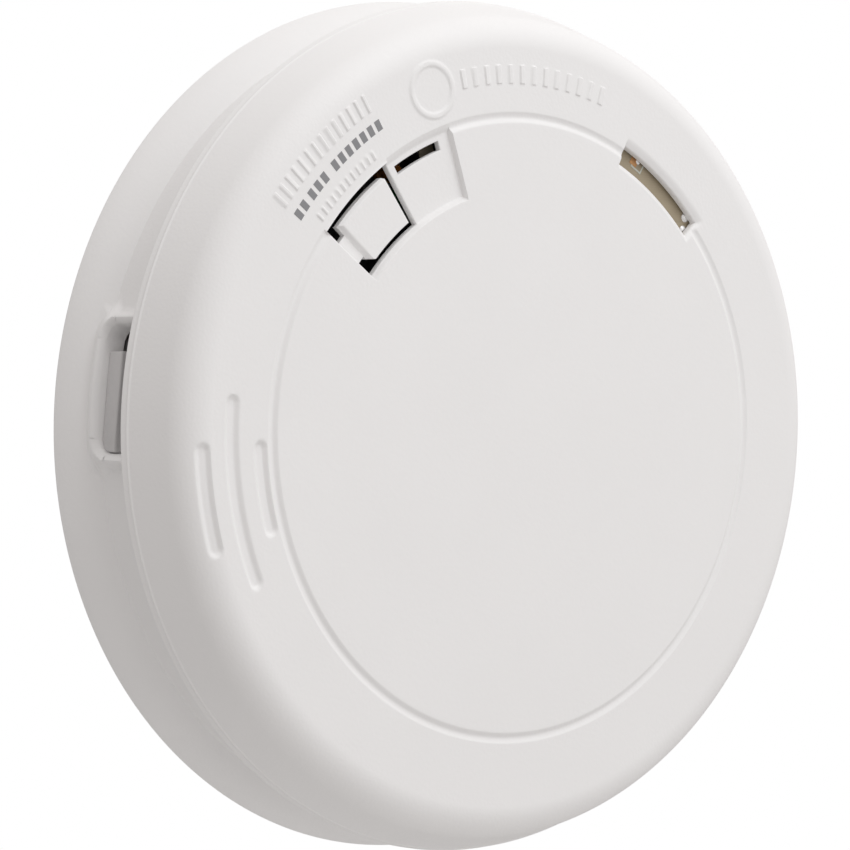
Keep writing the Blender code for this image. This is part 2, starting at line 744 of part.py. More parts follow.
def make_leds():
    for name, place, colour in INDICATORS:
        centre = polar(*place)
        base = cylinder(INDICATOR_BASE_R, ON_BOARD, ON_BOARD + 1 * MM, centre, sides=16)
        led = add_object(name, base, colour, 0.2)
        dome = cylinder(INDICATOR_R, ON_BOARD + 0.5 * MM, ON_BOARD + 3.2 * MM, centre, sides=16)
        tip = cylinder(INDICATOR_R, ON_BOARD + 3.2 * MM, ON_BOARD + 4.2 * MM, centre, 16, INDICATOR_R / 2)
        boolean(led, "UNION", [tool(dome), tool(tip)])


def make_led_spacer():
    """The block behind the right end of the indicator slot."""
    mesh = block(*LED_SPACER, ON_BOARD, ON_BOARD + LED_SPACER_HEIGHT)
    add_object("led_spacer", at_angle(mesh, LED_SPACER_ANGLE), (0.2, 0.17, 0.13, 1), 0.5)


def make_sounder_board():
    """A small board in the bay behind the sound slot, on two headers from the main board."""
    low = SOUNDER_BOARD_TOP - SOUNDER_BOARD_THICK
    mesh = prism(sector(*SOUNDER_BOARD), low, SOUNDER_BOARD_TOP)
    add_object("sounder_board", mesh, (0.3, 0.25, 0.16, 1), 0.45)
    for number, angle in enumerate(SOUNDER_HEADER_ANGLES, start=1):
        header = block(*SOUNDER_HEADER, ON_BOARD, low - GAP)
        add_object(f"sounder_header_{number}", at_angle(header, angle), BLACK, 0.5)


def make_power_parts():
    can = cylinder(CAPACITOR_R, UNDER_BOARD - CAPACITOR_LENGTH, UNDER_BOARD, CAPACITOR, sides=20)
    add_object("electrolytic_capacitor", can, (0.03, 0.05, 0.16, 1), 0.35)
    core = cylinder(INDUCTOR_R, UNDER_BOARD - INDUCTOR_HEIGHT, UNDER_BOARD, INDUCTOR, sides=20)
    inductor = add_object("boost_inductor", core, (0.05, 0.045, 0.04, 1), 0.6)
    waist_low = UNDER_BOARD - INDUCTOR_HEIGHT + 1 * MM
    waist_high = UNDER_BOARD - 1 * MM
    waist = tool(cylinder(INDUCTOR_R + 2 * MM, waist_low, waist_high, INDUCTOR, sides=20))
    keep = cylinder(INDUCTOR_WAIST_R, waist_low - 1 * MM, waist_high + 1 * MM, INDUCTOR, sides=20)
    boolean(waist, "DIFFERENCE", [tool(keep)])
    boolean(inductor, "DIFFERENCE", [waist])


# ---- optical smoke chamber ---------------------------------------------------------------------


def make_chamber():
    base_low = UNDER_BOARD - 2 * MM
    base = add_object("chamber_base", cylinder(CHAMBER_R, base_low, UNDER_BOARD, CHAMBER, 40), BLACK, 0.5)
    holders = []
    bores = []
    for angle in OPTICS_ANGLES:
        holder_low = OPTICS_HEIGHT - 3.4 * MM
        holder = block(8.6 * MM, 16.4 * MM, -3.6 * MM, 3.6 * MM, holder_low, base_low + 0.5 * MM)
        holders.append(tool(at_angle(holder, angle, CHAMBER)))
        start = (*polar(8 * MM, angle, CHAMBER), OPTICS_HEIGHT)
        direction = (*polar(1, angle), 0)
        bores.append(tool(lying_cylinder(OPTICS_R + GAP, start, direction, 9 * MM, 16)))
    boolean(base, "UNION", holders)
    boolean(base, "DIFFERENCE", bores)
    for name, angle, colour in (
        ("infrared_emitter", OPTICS_ANGLES[0], (0.1, 0.12, 0.3, 1)),
        ("photodiode", OPTICS_ANGLES[1], (0.02, 0.02, 0.03, 1)),
    ):
        start = (*polar(9 * MM, angle, CHAMBER), OPTICS_HEIGHT)
        lamp = lying_cylinder(OPTICS_R, start, (*polar(1, angle), 0), 6.6 * MM, 16)
        add_object(name, lamp, colour, 0.2)


def make_chamber_cap():
    """A lid with a ring of bent vanes, which lets air in and keeps light out."""
    cap_mesh = cylinder(CHAMBER_R, CHAMBER_FLOOR, CHAMBER_FLOOR + 1.5 * MM, CHAMBER, 40)
    cap = add_object("chamber_cap", cap_mesh, BLACK, 0.5)
    top = UNDER_BOARD - 2 * MM - GAP
    vanes = []
    for i in range(VANES):
        angle = 360 * i / VANES
        if any(abs((angle - optics + 180) % 360 - 180) < 20 for optics in OPTICS_ANGLES):
            continue
        outline = [polar(r * MM, a) for r, a in ((18, 0), (15.2, 8), (13.2, 0), (13, 4), (15.2, 13), (18, 4))]
        vane = prism(outline, CHAMBER_FLOOR + 1 * MM, top)
        vanes.append(tool(at_angle(vane, angle, CHAMBER)))
    boolean(cap, "UNION", vanes)


def make_insect_screen():
    low = CHAMBER_FLOOR + 1.5 * MM + GAP
    high = UNDER_BOARD - 2 * MM - GAP
    outer = 19.3 * MM
    screen_mesh = cylinder(outer, low, high, CHAMBER, 36)
    screen = add_object("insect_screen", screen_mesh, (0.5, 0.5, 0.5, 1), 0.4, 1.0)
    hollow = cylinder(outer - 0.4 * MM, low - MM, high + MM, CHAMBER, 36)
    bars = 18
    star = []
    for i in range(bars):
        middle = 360 * i / bars
        half = 360 / bars / 2
        star.append(polar(10 * MM, middle - half, CHAMBER))
        star += [polar(22 * MM, middle + turn, CHAMBER) for turn in (-half * 0.7, half * 0.7)]
    windows = []
    rows = 2
    rung = 0.8 * MM
    pane = (high - low - rung * (rows + 1)) / rows
    for row in range(rows):
        bottom = low + rung + row * (pane + rung)
        windows.append(tool(prism(star, bottom, bottom + pane)))
    boolean(screen, "DIFFERENCE", [tool(hollow)] + windows)


# ---- horn --------------------------------------------------------------------------------------


def make_horn():
    roof = FACE - COVER_WALL - GAP
    cup_mesh = cylinder(HORN_R, HORN_BOTTOM, roof, HORN, 40)
    cup = add_object("horn_resonator", cup_mesh, (0.6, 0.58, 0.5, 1), 0.5)
    cavity = cylinder(HORN_R - HORN_WALL, HORN_BOTTOM - MM, roof - 1 * MM, HORN, 40)
    port = block(HORN_R - 4 * MM, HORN_R + 1 * MM, -6 * MM, 6 * MM, HORN_BOTTOM + 1.2 * MM, roof - 1.3 * MM)
    boolean(cup, "DIFFERENCE", [tool(cavity), tool(at_angle(port, HORN_AIM, HORN))])
    disc_low = HORN_BOTTOM + 0.6 * MM
    disc = cylinder(PIEZO_R, disc_low, disc_low + 0.3 * MM, HORN, 40)
    add_object("piezo_disc", disc, (0.7, 0.5, 0.2, 1), 0.3, 1.0)
    ceramic = cylinder(CERAMIC_R, disc_low - GAP - 0.25 * MM, disc_low - GAP, HORN, 32)
    add_object("piezo_ceramic", ceramic, (0.75, 0.75, 0.72, 1), 0.4)
    contact_tops = (disc_low - GAP, disc_low - 2 * GAP - 0.25 * MM, disc_low - 2 * GAP - 0.25 * MM)
    contact_places = ((15.2 * MM, 30.0), (5 * MM, 150.0), (5 * MM, 270.0))
    for number, (top, place) in enumerate(zip(contact_tops, contact_places), start=1):
        make_horn_contact(f"horn_contact_{number}", top, polar(*place, HORN))


def make_horn_contact(name, top, centre):
    """A leaf spring: a foot on the board, a sloping arm and a flat tip under the disc."""
    x, y = centre
    strip = 0.25 * MM
    side = [
        (-3.0 * MM, ON_BOARD),
        (-1.0 * MM, ON_BOARD),
        (1.2 * MM, top - strip),
        (2.4 * MM, top - strip),
        (2.4 * MM, top),
        (1.0 * MM, top),
        (-1.2 * MM, ON_BOARD + strip),
        (-3.0 * MM, ON_BOARD + strip),
    ]
    mesh = prism(side, -0.9 * MM, 0.9 * MM)
    # The outline was drawn as (along the spring, height), so it is turned up on its side.
    mesh.transform(Matrix.Translation((x - 2 * MM, y, 0)) @ Matrix.Rotation(math.radians(90), 4, "X"))
    add_object(name, mesh, (0.72, 0.55, 0.3, 1), 0.3, 1.0)


# ---- battery -----------------------------------------------------------------------------------


def make_battery():
    half = BATTERY_LENGTH / 2
    start = (-half, BATTERY_Y, BATTERY_HEIGHT)
    cell_mesh = lying_cylinder(BATTERY_R, start, (1, 0, 0), BATTERY_LENGTH - 1 * MM, 32)
    cell = add_object("battery_cell", cell_mesh, (0.05, 0.07, 0.2, 1), 0.35)
    cap_start = (half - 2 * MM, BATTERY_Y, BATTERY_HEIGHT)
    boolean(cell, "UNION", [tool(lying_cylinder(3.2 * MM, cap_start, (1, 0, 0), 2 * MM, 16))])
    for name, x in (("battery_tab_positive", half + GAP), ("battery_tab_negative", -half - GAP - 0.3 * MM)):
        make_battery_tab(name, x)


def make_battery_tab(name, x):
    """A nickel strip welded to the cell's end, which runs up to the circuit board."""
    strip_half = 2.5 * MM
    upright = BOARD_CUT_Y + 2 * MM
    outline = [
        (BATTERY_Y - strip_half, BATTERY_HEIGHT - strip_half),
        (upright + 2 * strip_half, BATTERY_HEIGHT - strip_half),
        (upright + 2 * strip_half, UNDER_BOARD),
        (upright, UNDER_BOARD),
        (upright, BATTERY_HEIGHT + strip_half),
        (BATTERY_Y - strip_half, BATTERY_HEIGHT + strip_half),
    ]
    mesh = prism(outline, x, x + 0.3 * MM)
    # Outline x becomes the plan's y, outline y the height, and the thickness runs along x.
    mesh.transform(Matrix(((0, 0, 1, 0), (1, 0, 0, 0), (0, 1, 0, 0), (0, 0, 0, 1))))
    add_object(name, mesh, (0.6, 0.58, 0.54, 1), 0.35, 1.0)


planned_booleans = []
clear_scene()
alarm_parts = new_collection("smoke_alarm", bpy.context.scene.collection)
cutters = new_collection("cutters", bpy.context.scene.collection)
plan = bpy.data.objects.new("plan", None)
plan.rotation_euler = (math.radians(90), 0, 0)
alarm_parts.objects.link(plan)

make_bracket()
make_housing()
make_rating_label()
make_cover()
make_test_button()
make_tact_switch()
make_power_slider()
make_power_switch()
make_board()
make_board_screws()
for chip in CHIPS:
    make_chip(*chip)
make_leds()
make_led_spacer()
make_sounder_board()
make_power_parts()
make_chamber()
make_chamber_cap()
make_insect_screen()
make_horn()
make_battery()
add_planned_booleans()
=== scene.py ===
"""The looks of the smoke alarm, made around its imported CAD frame.

Shapes are drawn in plan, as they are seen from the room: x to the right, y up and z, called the height,
out of the wall. STAND_UP turns a drawing into the frame, where the face looks along -Y and +Z is up.
"""

import json
import math

import bmesh
import bpy
import numpy as np
from mathutils import Matrix, Vector


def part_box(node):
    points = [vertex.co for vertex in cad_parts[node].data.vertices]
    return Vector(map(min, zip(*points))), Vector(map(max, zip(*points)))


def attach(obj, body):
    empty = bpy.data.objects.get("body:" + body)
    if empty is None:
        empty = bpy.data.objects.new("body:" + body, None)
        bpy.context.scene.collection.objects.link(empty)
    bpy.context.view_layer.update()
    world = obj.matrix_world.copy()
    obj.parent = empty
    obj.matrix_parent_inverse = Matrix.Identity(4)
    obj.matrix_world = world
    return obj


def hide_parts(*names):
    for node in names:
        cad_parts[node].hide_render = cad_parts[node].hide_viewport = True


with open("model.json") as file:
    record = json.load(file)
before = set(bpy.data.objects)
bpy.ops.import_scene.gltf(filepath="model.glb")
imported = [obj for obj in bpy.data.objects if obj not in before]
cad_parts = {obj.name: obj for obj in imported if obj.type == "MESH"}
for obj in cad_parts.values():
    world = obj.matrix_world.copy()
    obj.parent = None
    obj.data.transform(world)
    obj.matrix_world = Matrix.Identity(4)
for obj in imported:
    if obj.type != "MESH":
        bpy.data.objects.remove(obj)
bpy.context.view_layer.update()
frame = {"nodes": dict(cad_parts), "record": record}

MM = 0.001
STAND_UP = Matrix.Rotation(math.radians(90), 4, "X")
LIE_ALONG_X = Matrix(((0, 0, 1, 0), (1, 0, 0, 0), (0, 1, 0, 0), (0, 0, 0, 1)))


def front_of(node):
    """The height of a node's front above the wall."""
    return -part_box(node)[0].y


def radius_of(node):
    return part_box(node)[1].x


def plan_centre(node):
    low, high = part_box(node)
    return (low.x + high.x) / 2, (low.z + high.z) / 2


# Sizes that the frame gives.
FACE = front_of("front_cover")
LIP_R = radius_of("front_cover")
FLANGE_R = radius_of("back_housing")
COLLAR_TOP = front_of("back_housing")
BRACKET_R = radius_of("mounting_bracket")
BRACKET_RING_TOP = front_of("mounting_bracket")
BOARD_TOP = front_of("circuit_board")
BOARD_BACK = -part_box("circuit_board")[1].y

# Front cover.
COVER_WALL = 2.2 * MM
GROOVE_R = 50.0 * MM
GROOVE_HALF = 0.72 * MM
GROOVE_DEPTH = 0.44 * MM
GROOVE_WALL = 0.66 * MM
GROOVE_SHOULDER = 0.2 * MM
RING_DROP = 0.15 * MM
CORNER_START = 61.1 * MM
CORNER_RADIUS = 6.0 * MM
CORNER_TURN = 69.0
LIP = FACE - 11.9 * MM
LIP_WALL = 2.1 * MM
BEAD_FROM_LIP = 1.1 * MM

# Face features: inner and outer radius, start and end angle in degrees, anticlockwise from +x.
SOUND_SLOT = (48.35 * MM, 51.6 * MM, 41.5, 64.3)
SOUND_BAY = (46.4 * MM, 55.1 * MM, 37.0, 69.0)
SOUND_WALL = 1.85 * MM
SOUND_SLOPE_DEPTH = 0.75 * MM
POCKET = (38.25 * MM, 50.85 * MM, 107.9, 142.3)
POCKET_DEPTH = 0.95 * MM
POCKET_WALL = 1.05 * MM
LED_SLOT = (47.25 * MM, 48.7 * MM, 110.9, 122.3)
BUTTON_HOLE = (38.9 * MM, 50.2 * MM, 124.0, 142.3)
BUTTON = (40.0 * MM, 48.6 * MM, 125.6, 139.6)
BUTTON_TAB = (41.75 * MM, 46.6 * MM, 139.6, 141.8)
BUTTON_TOP = FACE - 0.75 * MM
BUTTON_THICK = 1.4 * MM
TAB_DROP = 0.7 * MM
TAB_THICK = 1.0 * MM
MARK_HEIGHT = 0.22 * MM
# Rows of plain raised ribs: first and last rib, step, inner and outer radius, half width of a rib.
RIB_ROWS = (
    (73.0, 103.0, 2.5, 55.3 * MM, 58.5 * MM, 0.55 * MM),
    (122.6, 144.0, 1.65, 58.3 * MM, 61.5 * MM, 0.42 * MM),
    (125.9, 140.9, 1.4, 51.7 * MM, 53.4 * MM, 0.33 * MM),
)
WAVES = ((52.25 * MM, 181.1, 197.0), (57.45 * MM, 174.1, 203.7), (62.55 * MM, 181.1, 196.7))
WAVE_HALF = 1.05 * MM
WAVE_DEPTH = 0.58 * MM
WAVE_WALL = 0.5 * MM
WAVE_SHOULDER = 0.25 * MM
SNAP_ANGLES = (20.0, 100.0, 225.0, 315.0)

# Back housing.
COLLAR_R = 66.4 * MM
COLLAR_INNER = 64.6 * MM
CREASE = FACE - 22.3 * MM
FLANGE_TIP = FACE - 28.2 * MM
FLANGE_UNDER_R = 68.6 * MM
FLANGE_INNER_R = 66.6 * MM
FLANGE_EDGE = 0.8 * MM
FLOOR_TOP = 5.4 * MM
FLOOR_BACK = 3.9 * MM
WINDOW_ANGLE = 174.2
WINDOW_HALF = 9.75 * MM
WINDOW_BACK = FACE - 20.6 * MM
WINDOW_CORNER = 2.4 * MM
# The bezel: its rise, how far it reaches from the window and how much more behind it, its crest's place,
# the rounding of its inner edge, the fillet at its foot, and how far from the window's middle it is drawn.
BEZEL_HEIGHT = 2.4 * MM
BEZEL_REACH = 3.2 * MM
BEZEL_FOOT = 3.4 * MM
BEZEL_CREST = 0.8 * MM
BEZEL_ROUND = 0.9 * MM
BEZEL_BLEND = 0.5 * MM
BEZEL_END = 17 * MM
HOOK_ANGLES = (90.0, 210.0, 330.0)
HOOK_R = 51.0 * MM

bodies_of = frame["record"]["behaviour"]["bodies"]
slot_of = {part["node"]: part["material_slot"] for part in frame["record"]["subparts"]}


# ---- small maths ----


def polar(radius, angle, centre=(0.0, 0.0)):
    turn = math.radians(angle)
    return centre[0] + radius * math.cos(turn), centre[1] + radius * math.sin(turn)


def smooth(x, low, high):
    """0 below low, 1 above high, and a soft step between them."""
    t = np.clip((x - low) / (high - low), 0, 1)
    return t * t * (3 - 2 * t)


def ramp(x, width):
    """A straight slope from 0 to 1 over the width, with softened ends."""
    t = np.clip(x / width, 0, 1)
    return 0.6 * t + 0.4 * t * t * (3 - 2 * t)


def stations(low, high, step, zones=(), edges=(), near=0.0):
    """Grid lines from low to high: a step apart, closer in each (start, end, step) zone, one on each edge."""
    marks = list(np.linspace(low, high, round((high - low) / step) + 1))
    for start, end, fine in zones:
        marks = [m for m in marks if not start - fine / 2 < m < end + fine / 2]
        marks += list(np.linspace(start, end, round((end - start) / fine) + 1))
    for edge in edges:
        marks = [m for m in marks if abs(m - edge) > near]
        marks.append(edge)
    return np.array(sorted(marks))


def edge_lines(edges, offsets):
    """Each edge's own line comes last, so that it is kept exactly."""
    return [edge + offset for edge in edges for offset in offsets] + list(edges)


def per_row(values, columns):
    """A grid with one value for each row, the same in every column."""
    return np.repeat(values[:, None], len(columns), axis=1)


def cell_middles(row_values, columns):
    """The middles of a ring's cells: the rows' values as a column, and the angles as a row."""
    middle_value = (row_values[:-1] + row_values[1:])[:, None] / 2
    middle_angle = ((columns + np.append(columns[1:], 360.0)) / 2)[None, :]
    return middle_value, middle_angle


def outside_sector(radius, angle, sector):
    """Distance of plan points outside a sector; 0 on and in it. Angles are in degrees."""
    inner, outer, start, end = sector
    across = np.maximum(np.maximum(inner - radius, radius - outer), 0)
    along = np.maximum(np.maximum(start - angle, angle - end), 0) * np.pi / 180 * radius
    return np.hypot(across, along)


def in_sector(radius, angle, sector):
    inner, outer, start, end = sector
    return (radius > inner) & (radius < outer) & (angle > start) & (angle < end)


def edge_arc(radius, height, size, turns):
    """Points of a section's rounded outer top edge, each at a turn in radians from the upright."""
    return [(radius - size * (1 - math.sin(a)), height - size * (1 - math.cos(a))) for a in turns]


def round_over(distance, radius):
    """How far a rounded edge lies below its surface, at a distance from the edge."""
    near = np.clip(radius - distance, 0, radius)
    return radius - np.sqrt(radius * radius - near * near)


# ---- meshes ----


def shell(name, outer, inner, kept=None, ring=True, centre=None):
    """A closed mesh between two skins, given as (rows, columns, 3) arrays of plan points.

    kept says which cells are solid, and the edges of what is left out are walled from skin to skin. On a
    ring the last column joins the first. centre names the row, first or last, that closes to a point.
    """
    rows, columns = outer.shape[:2]
    cells = columns if ring else columns - 1
    if kept is None:
        kept = np.ones((rows - 1, cells), bool)
    index = np.arange(rows * columns).reshape(rows, columns)
    if centre:
        row = 0 if centre == "first" else -1
        index[row, :] = index[row, 0]
    after = np.roll(index, -1, axis=1)
    a, b = index[:-1, :cells], index[1:, :cells]
    d, c = after[:-1, :cells], after[1:, :cells]
    inward = rows * columns
    faces = [np.stack([a, b, c, d], -1)[kept], np.stack([d, c, b, a], -1)[kept] + inward]

    nothing = np.zeros((1, cells), bool)
    above = np.vstack([nothing if centre != "first" else ~nothing, kept[:-1]])
    below = np.vstack([kept[1:], nothing if centre != "last" else ~nothing])
    if ring:
        before, beyond = np.roll(kept, 1, axis=1), np.roll(kept, -1, axis=1)
    else:
        side = np.zeros((rows - 1, 1), bool)
        before, beyond = np.hstack([side, kept[:, :-1]]), np.hstack([kept[:, 1:], side])
    for open_side, first, second in (
        (kept & ~above, a, d),
        (kept & ~below, c, b),
        (kept & ~before, b, a),
        (kept & ~beyond, d, c),
    ):
        wall = np.stack([first, second, second + inward, first + inward], -1)
        faces.append(wall[open_side])

    quads = np.concatenate(faces)
    used = np.unique(quads)
    renumber = np.zeros(2 * inward, int)
    renumber[used] = np.arange(len(used))
    points = np.concatenate([outer.reshape(-1, 3), inner.reshape(-1, 3)])[used]
    polygons = [list(dict.fromkeys(face)) for face in renumber[quads].tolist()]
    mesh = bpy.data.meshes.new(name)
    mesh.from_pydata(points.tolist(), [], [face for face in polygons if len(face) > 2])
    return mesh


def plan_points(radius, angle, height):
    turn = np.radians(angle)
    return np.stack([radius * np.cos(turn), radius * np.sin(turn), height + 0 * radius], -1)


def prism(outline, low, high, bevel=0.0, segments=2):
    """A flat outline extruded between two heights, with its sharp edges rounded."""
    bm = bmesh.new()
    floor = bm.faces.new([bm.verts.new((x, y, low)) for x, y in outline])
    raised = bmesh.ops.extrude_face_region(bm, geom=[floor])["geom"]
    moved = [item for item in raised if isinstance(item, bmesh.types.BMVert)]
    bmesh.ops.translate(bm, verts=moved, vec=(0, 0, high - low))
    bmesh.ops.recalc_face_normals(bm, faces=bm.faces)
    if bevel:
        sharp = [edge for edge in bm.edges if edge.calc_face_angle(0) > math.radians(40)]
        bmesh.ops.bevel(bm, geom=sharp, offset=bevel, segments=segments, profile=0.5, affect="EDGES")
    mesh = bpy.data.meshes.new("prism")
    bm.to_mesh(mesh)
    bm.free()
    return mesh


def block(x_low, x_high, y_low, y_high, low, high, bevel=0.25 * MM):
    outline = [(x_low, y_low), (x_high, y_low), (x_high, y_high), (x_low, y_high)]
    return prism(outline, low, high, bevel)


def arc(radius, start, end, steps, centre=(0.0, 0.0)):
    return [polar(radius, start + (end - start) * i / steps, centre) for i in range(steps + 1)]


def sector_outline(inner, outer, start, end, steps=12):
    return arc(outer, start, end, steps) + arc(inner, end, start, steps)


def rounded_box(x_low, x_high, y_low, y_high, radius):
    corners = (
        (x_high - radius, y_low + radius, -90),
        (x_high - radius, y_high - radius, 0),
        (x_low + radius, y_high - radius, 90),
        (x_low + radius, y_low + radius, 180),
    )
    return [p for x, y, start in corners for p in arc(radius, start, start + 90, 8, (x, y))]


def at_angle(mesh, angle):
    """Turns a mesh that was drawn along +x to an angle of the plan."""
    mesh.transform(Matrix.Rotation(math.radians(angle), 4, "Z"))
    return mesh


def radial_prism(outline, low_radius, high_radius, bevel):
    """A prism whose outline is (along the rim, height), and which runs out from the axis at the window."""
    mesh = prism(outline, low_radius, high_radius, bevel, segments=3)
    mesh.transform(LIE_ALONG_X)
    return at_angle(mesh, WINDOW_ANGLE)


def join(meshes):
    bm = bmesh.new()
    for mesh in meshes:
        bm.from_mesh(mesh)
    joined = bpy.data.meshes.new("joined")
    bm.to_mesh(joined)
    bm.free()
    return joined


def put(name, data):
    """A new object in the scene."""
    obj = bpy.data.objects.new(name, data)
    bpy.context.scene.collection.objects.link(obj)
    return obj


def piece(name, mesh, node, slot=None, finish=None, hides=True):
    """A finished piece: it rides with a CAD node's body, and stands for the node if it hides it.

    The slot is the record's. A finish is a material of its own, for what has no slot there.
    """
    mesh.transform(STAND_UP)
    mesh.shade_smooth()
    mesh.set_sharp_from_angle(angle=math.radians(32))
    mesh.materials.append(materials[finish or slot or slot_of[node]])
    obj = put(name, mesh)
    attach(obj, next(body for body, nodes in bodies_of.items() if node in nodes))
    if hides:
        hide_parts(node)
    return obj


# ---- materials ----


class Surface:
    """A Principled material with small helpers for its node tree, in object coordinates."""

    def __init__(self, name):
        self.made = bpy.data.materials.new(name)
        self.made.use_nodes = True
        self.tree = self.made.node_tree
        self.shader = self.tree.nodes["Principled BSDF"]
        self.place = self.tree.nodes.new("ShaderNodeTexCoord").outputs["Object"]

    def link(self, source, target):
        self.tree.links.new(source, target)

    def node(self, kind, **inputs):
        made = self.tree.nodes.new(kind)
        for name, value in inputs.items():
            socket = made.inputs[name.replace("_", " ")]
            if hasattr(value, "is_output"):
                self.link(value, socket)
            else:
                socket.default_value = value
        return made

    def noise(self, size, detail=3.0, stretch=(1, 1, 1)):
        """Grey noise, with a feature about once in each size in metres."""
        scaled = self.node("ShaderNodeMapping", Vector=self.place, Scale=stretch)
        made = self.node("ShaderNodeTexNoise", Vector=scaled.outputs[0], Scale=1 / size, Detail=detail)
        return made.outputs["Fac"]

    def cells(self, size):
        made = self.node("ShaderNodeTexVoronoi", Vector=self.place, Scale=1 / size)
        made.feature = "SMOOTH_F1"
        return made.outputs["Distance"]

    def remap(self, value, low, high, to_low, to_high):
        limits = {"From_Min": low, "From_Max": high, "To_Min": to_low, "To_Max": to_high}
        return self.node("ShaderNodeMapRange", Value=value, **limits).outputs["Result"]

    def mix(self, factor, first, second):
        made = self.tree.nodes.new("ShaderNodeMix")
        made.data_type = "RGBA"
        for socket, value in ((made.inputs[0], factor), (made.inputs[6], first), (made.inputs[7], second)):
            if hasattr(value, "is_output"):
                self.link(value, socket)
            else:
                socket.default_value = value
        return made.outputs[2]

    def worn_edges(self):
        """0 on flats, and 1 on the ridges that hands and tools rub."""
        geometry = self.tree.nodes.new("ShaderNodeNewGeometry")
        return self.remap(geometry.outputs["Pointiness"], 0.52, 0.6, 0.0, 1.0)

    def bump(self, height, depth):
        made = self.node("ShaderNodeBump", Height=height, Strength=1.0, Distance=depth)
        self.link(made.outputs["Normal"], self.shader.inputs["Normal"])

    def colour(self, source):
        self.link(source, self.shader.inputs["Base Color"])

    def gloss(self, source, smoothest, roughest):
        """Roughness that follows a grey pattern."""
        self.link(self.remap(source, 0.3, 0.7, smoothest, roughest), self.shader.inputs["Roughness"])


def tone(colour, factor):
    return tuple(min(1.0, channel * factor) for channel in colour) + (1.0,)


def make_surface(name, colour, roughness, metallic, grain, depth, options):
    """A moulded, drawn or printed surface.

    spread is how far the colour drifts, wear how much lighter worn edges are, stretch draws the grain out
    along an axis, pebbled makes the grain a moulded one, clear lets light in, and coat adds a clear gloss.
    """
    spread = options.get("spread", 0.04)
    surface = Surface(name)
    drift = surface.noise(18 * MM, 2.0)
    fine = surface.noise(grain * 2, 4.0, options.get("stretch", (1, 1, 1)))
    drifted = surface.remap(drift, 0.3, 0.7, 0.0, 1.0)
    base = surface.mix(drifted, tone(colour, 1 - spread), tone(colour, 1 + spread))
    speckled = surface.mix(surface.remap(fine, 0.35, 0.65, 0.0, spread), base, tone(colour, 0.6))
    rubbed = surface.node("ShaderNodeMath", Value=surface.worn_edges())
    rubbed.operation = "MULTIPLY"
    rubbed.inputs[1].default_value = options.get("wear", 0.08)
    surface.colour(surface.mix(rubbed.outputs[0], speckled, tone(colour, 1.35)))
    surface.gloss(fine, roughness - 0.06, roughness + 0.06)
    for socket, value in (
        ("Metallic", metallic),
        ("Specular IOR Level", 0.4),
        ("Coat Weight", options.get("coat", 0.0)),
        ("Coat Roughness", 0.15),
        ("Transmission Weight", options.get("clear", 0.0)),
    ):
        surface.shader.inputs[socket].default_value = value
    height = surface.cells(grain) if options.get("pebbled") else fine
    surface.bump(height, depth)
    return surface.made


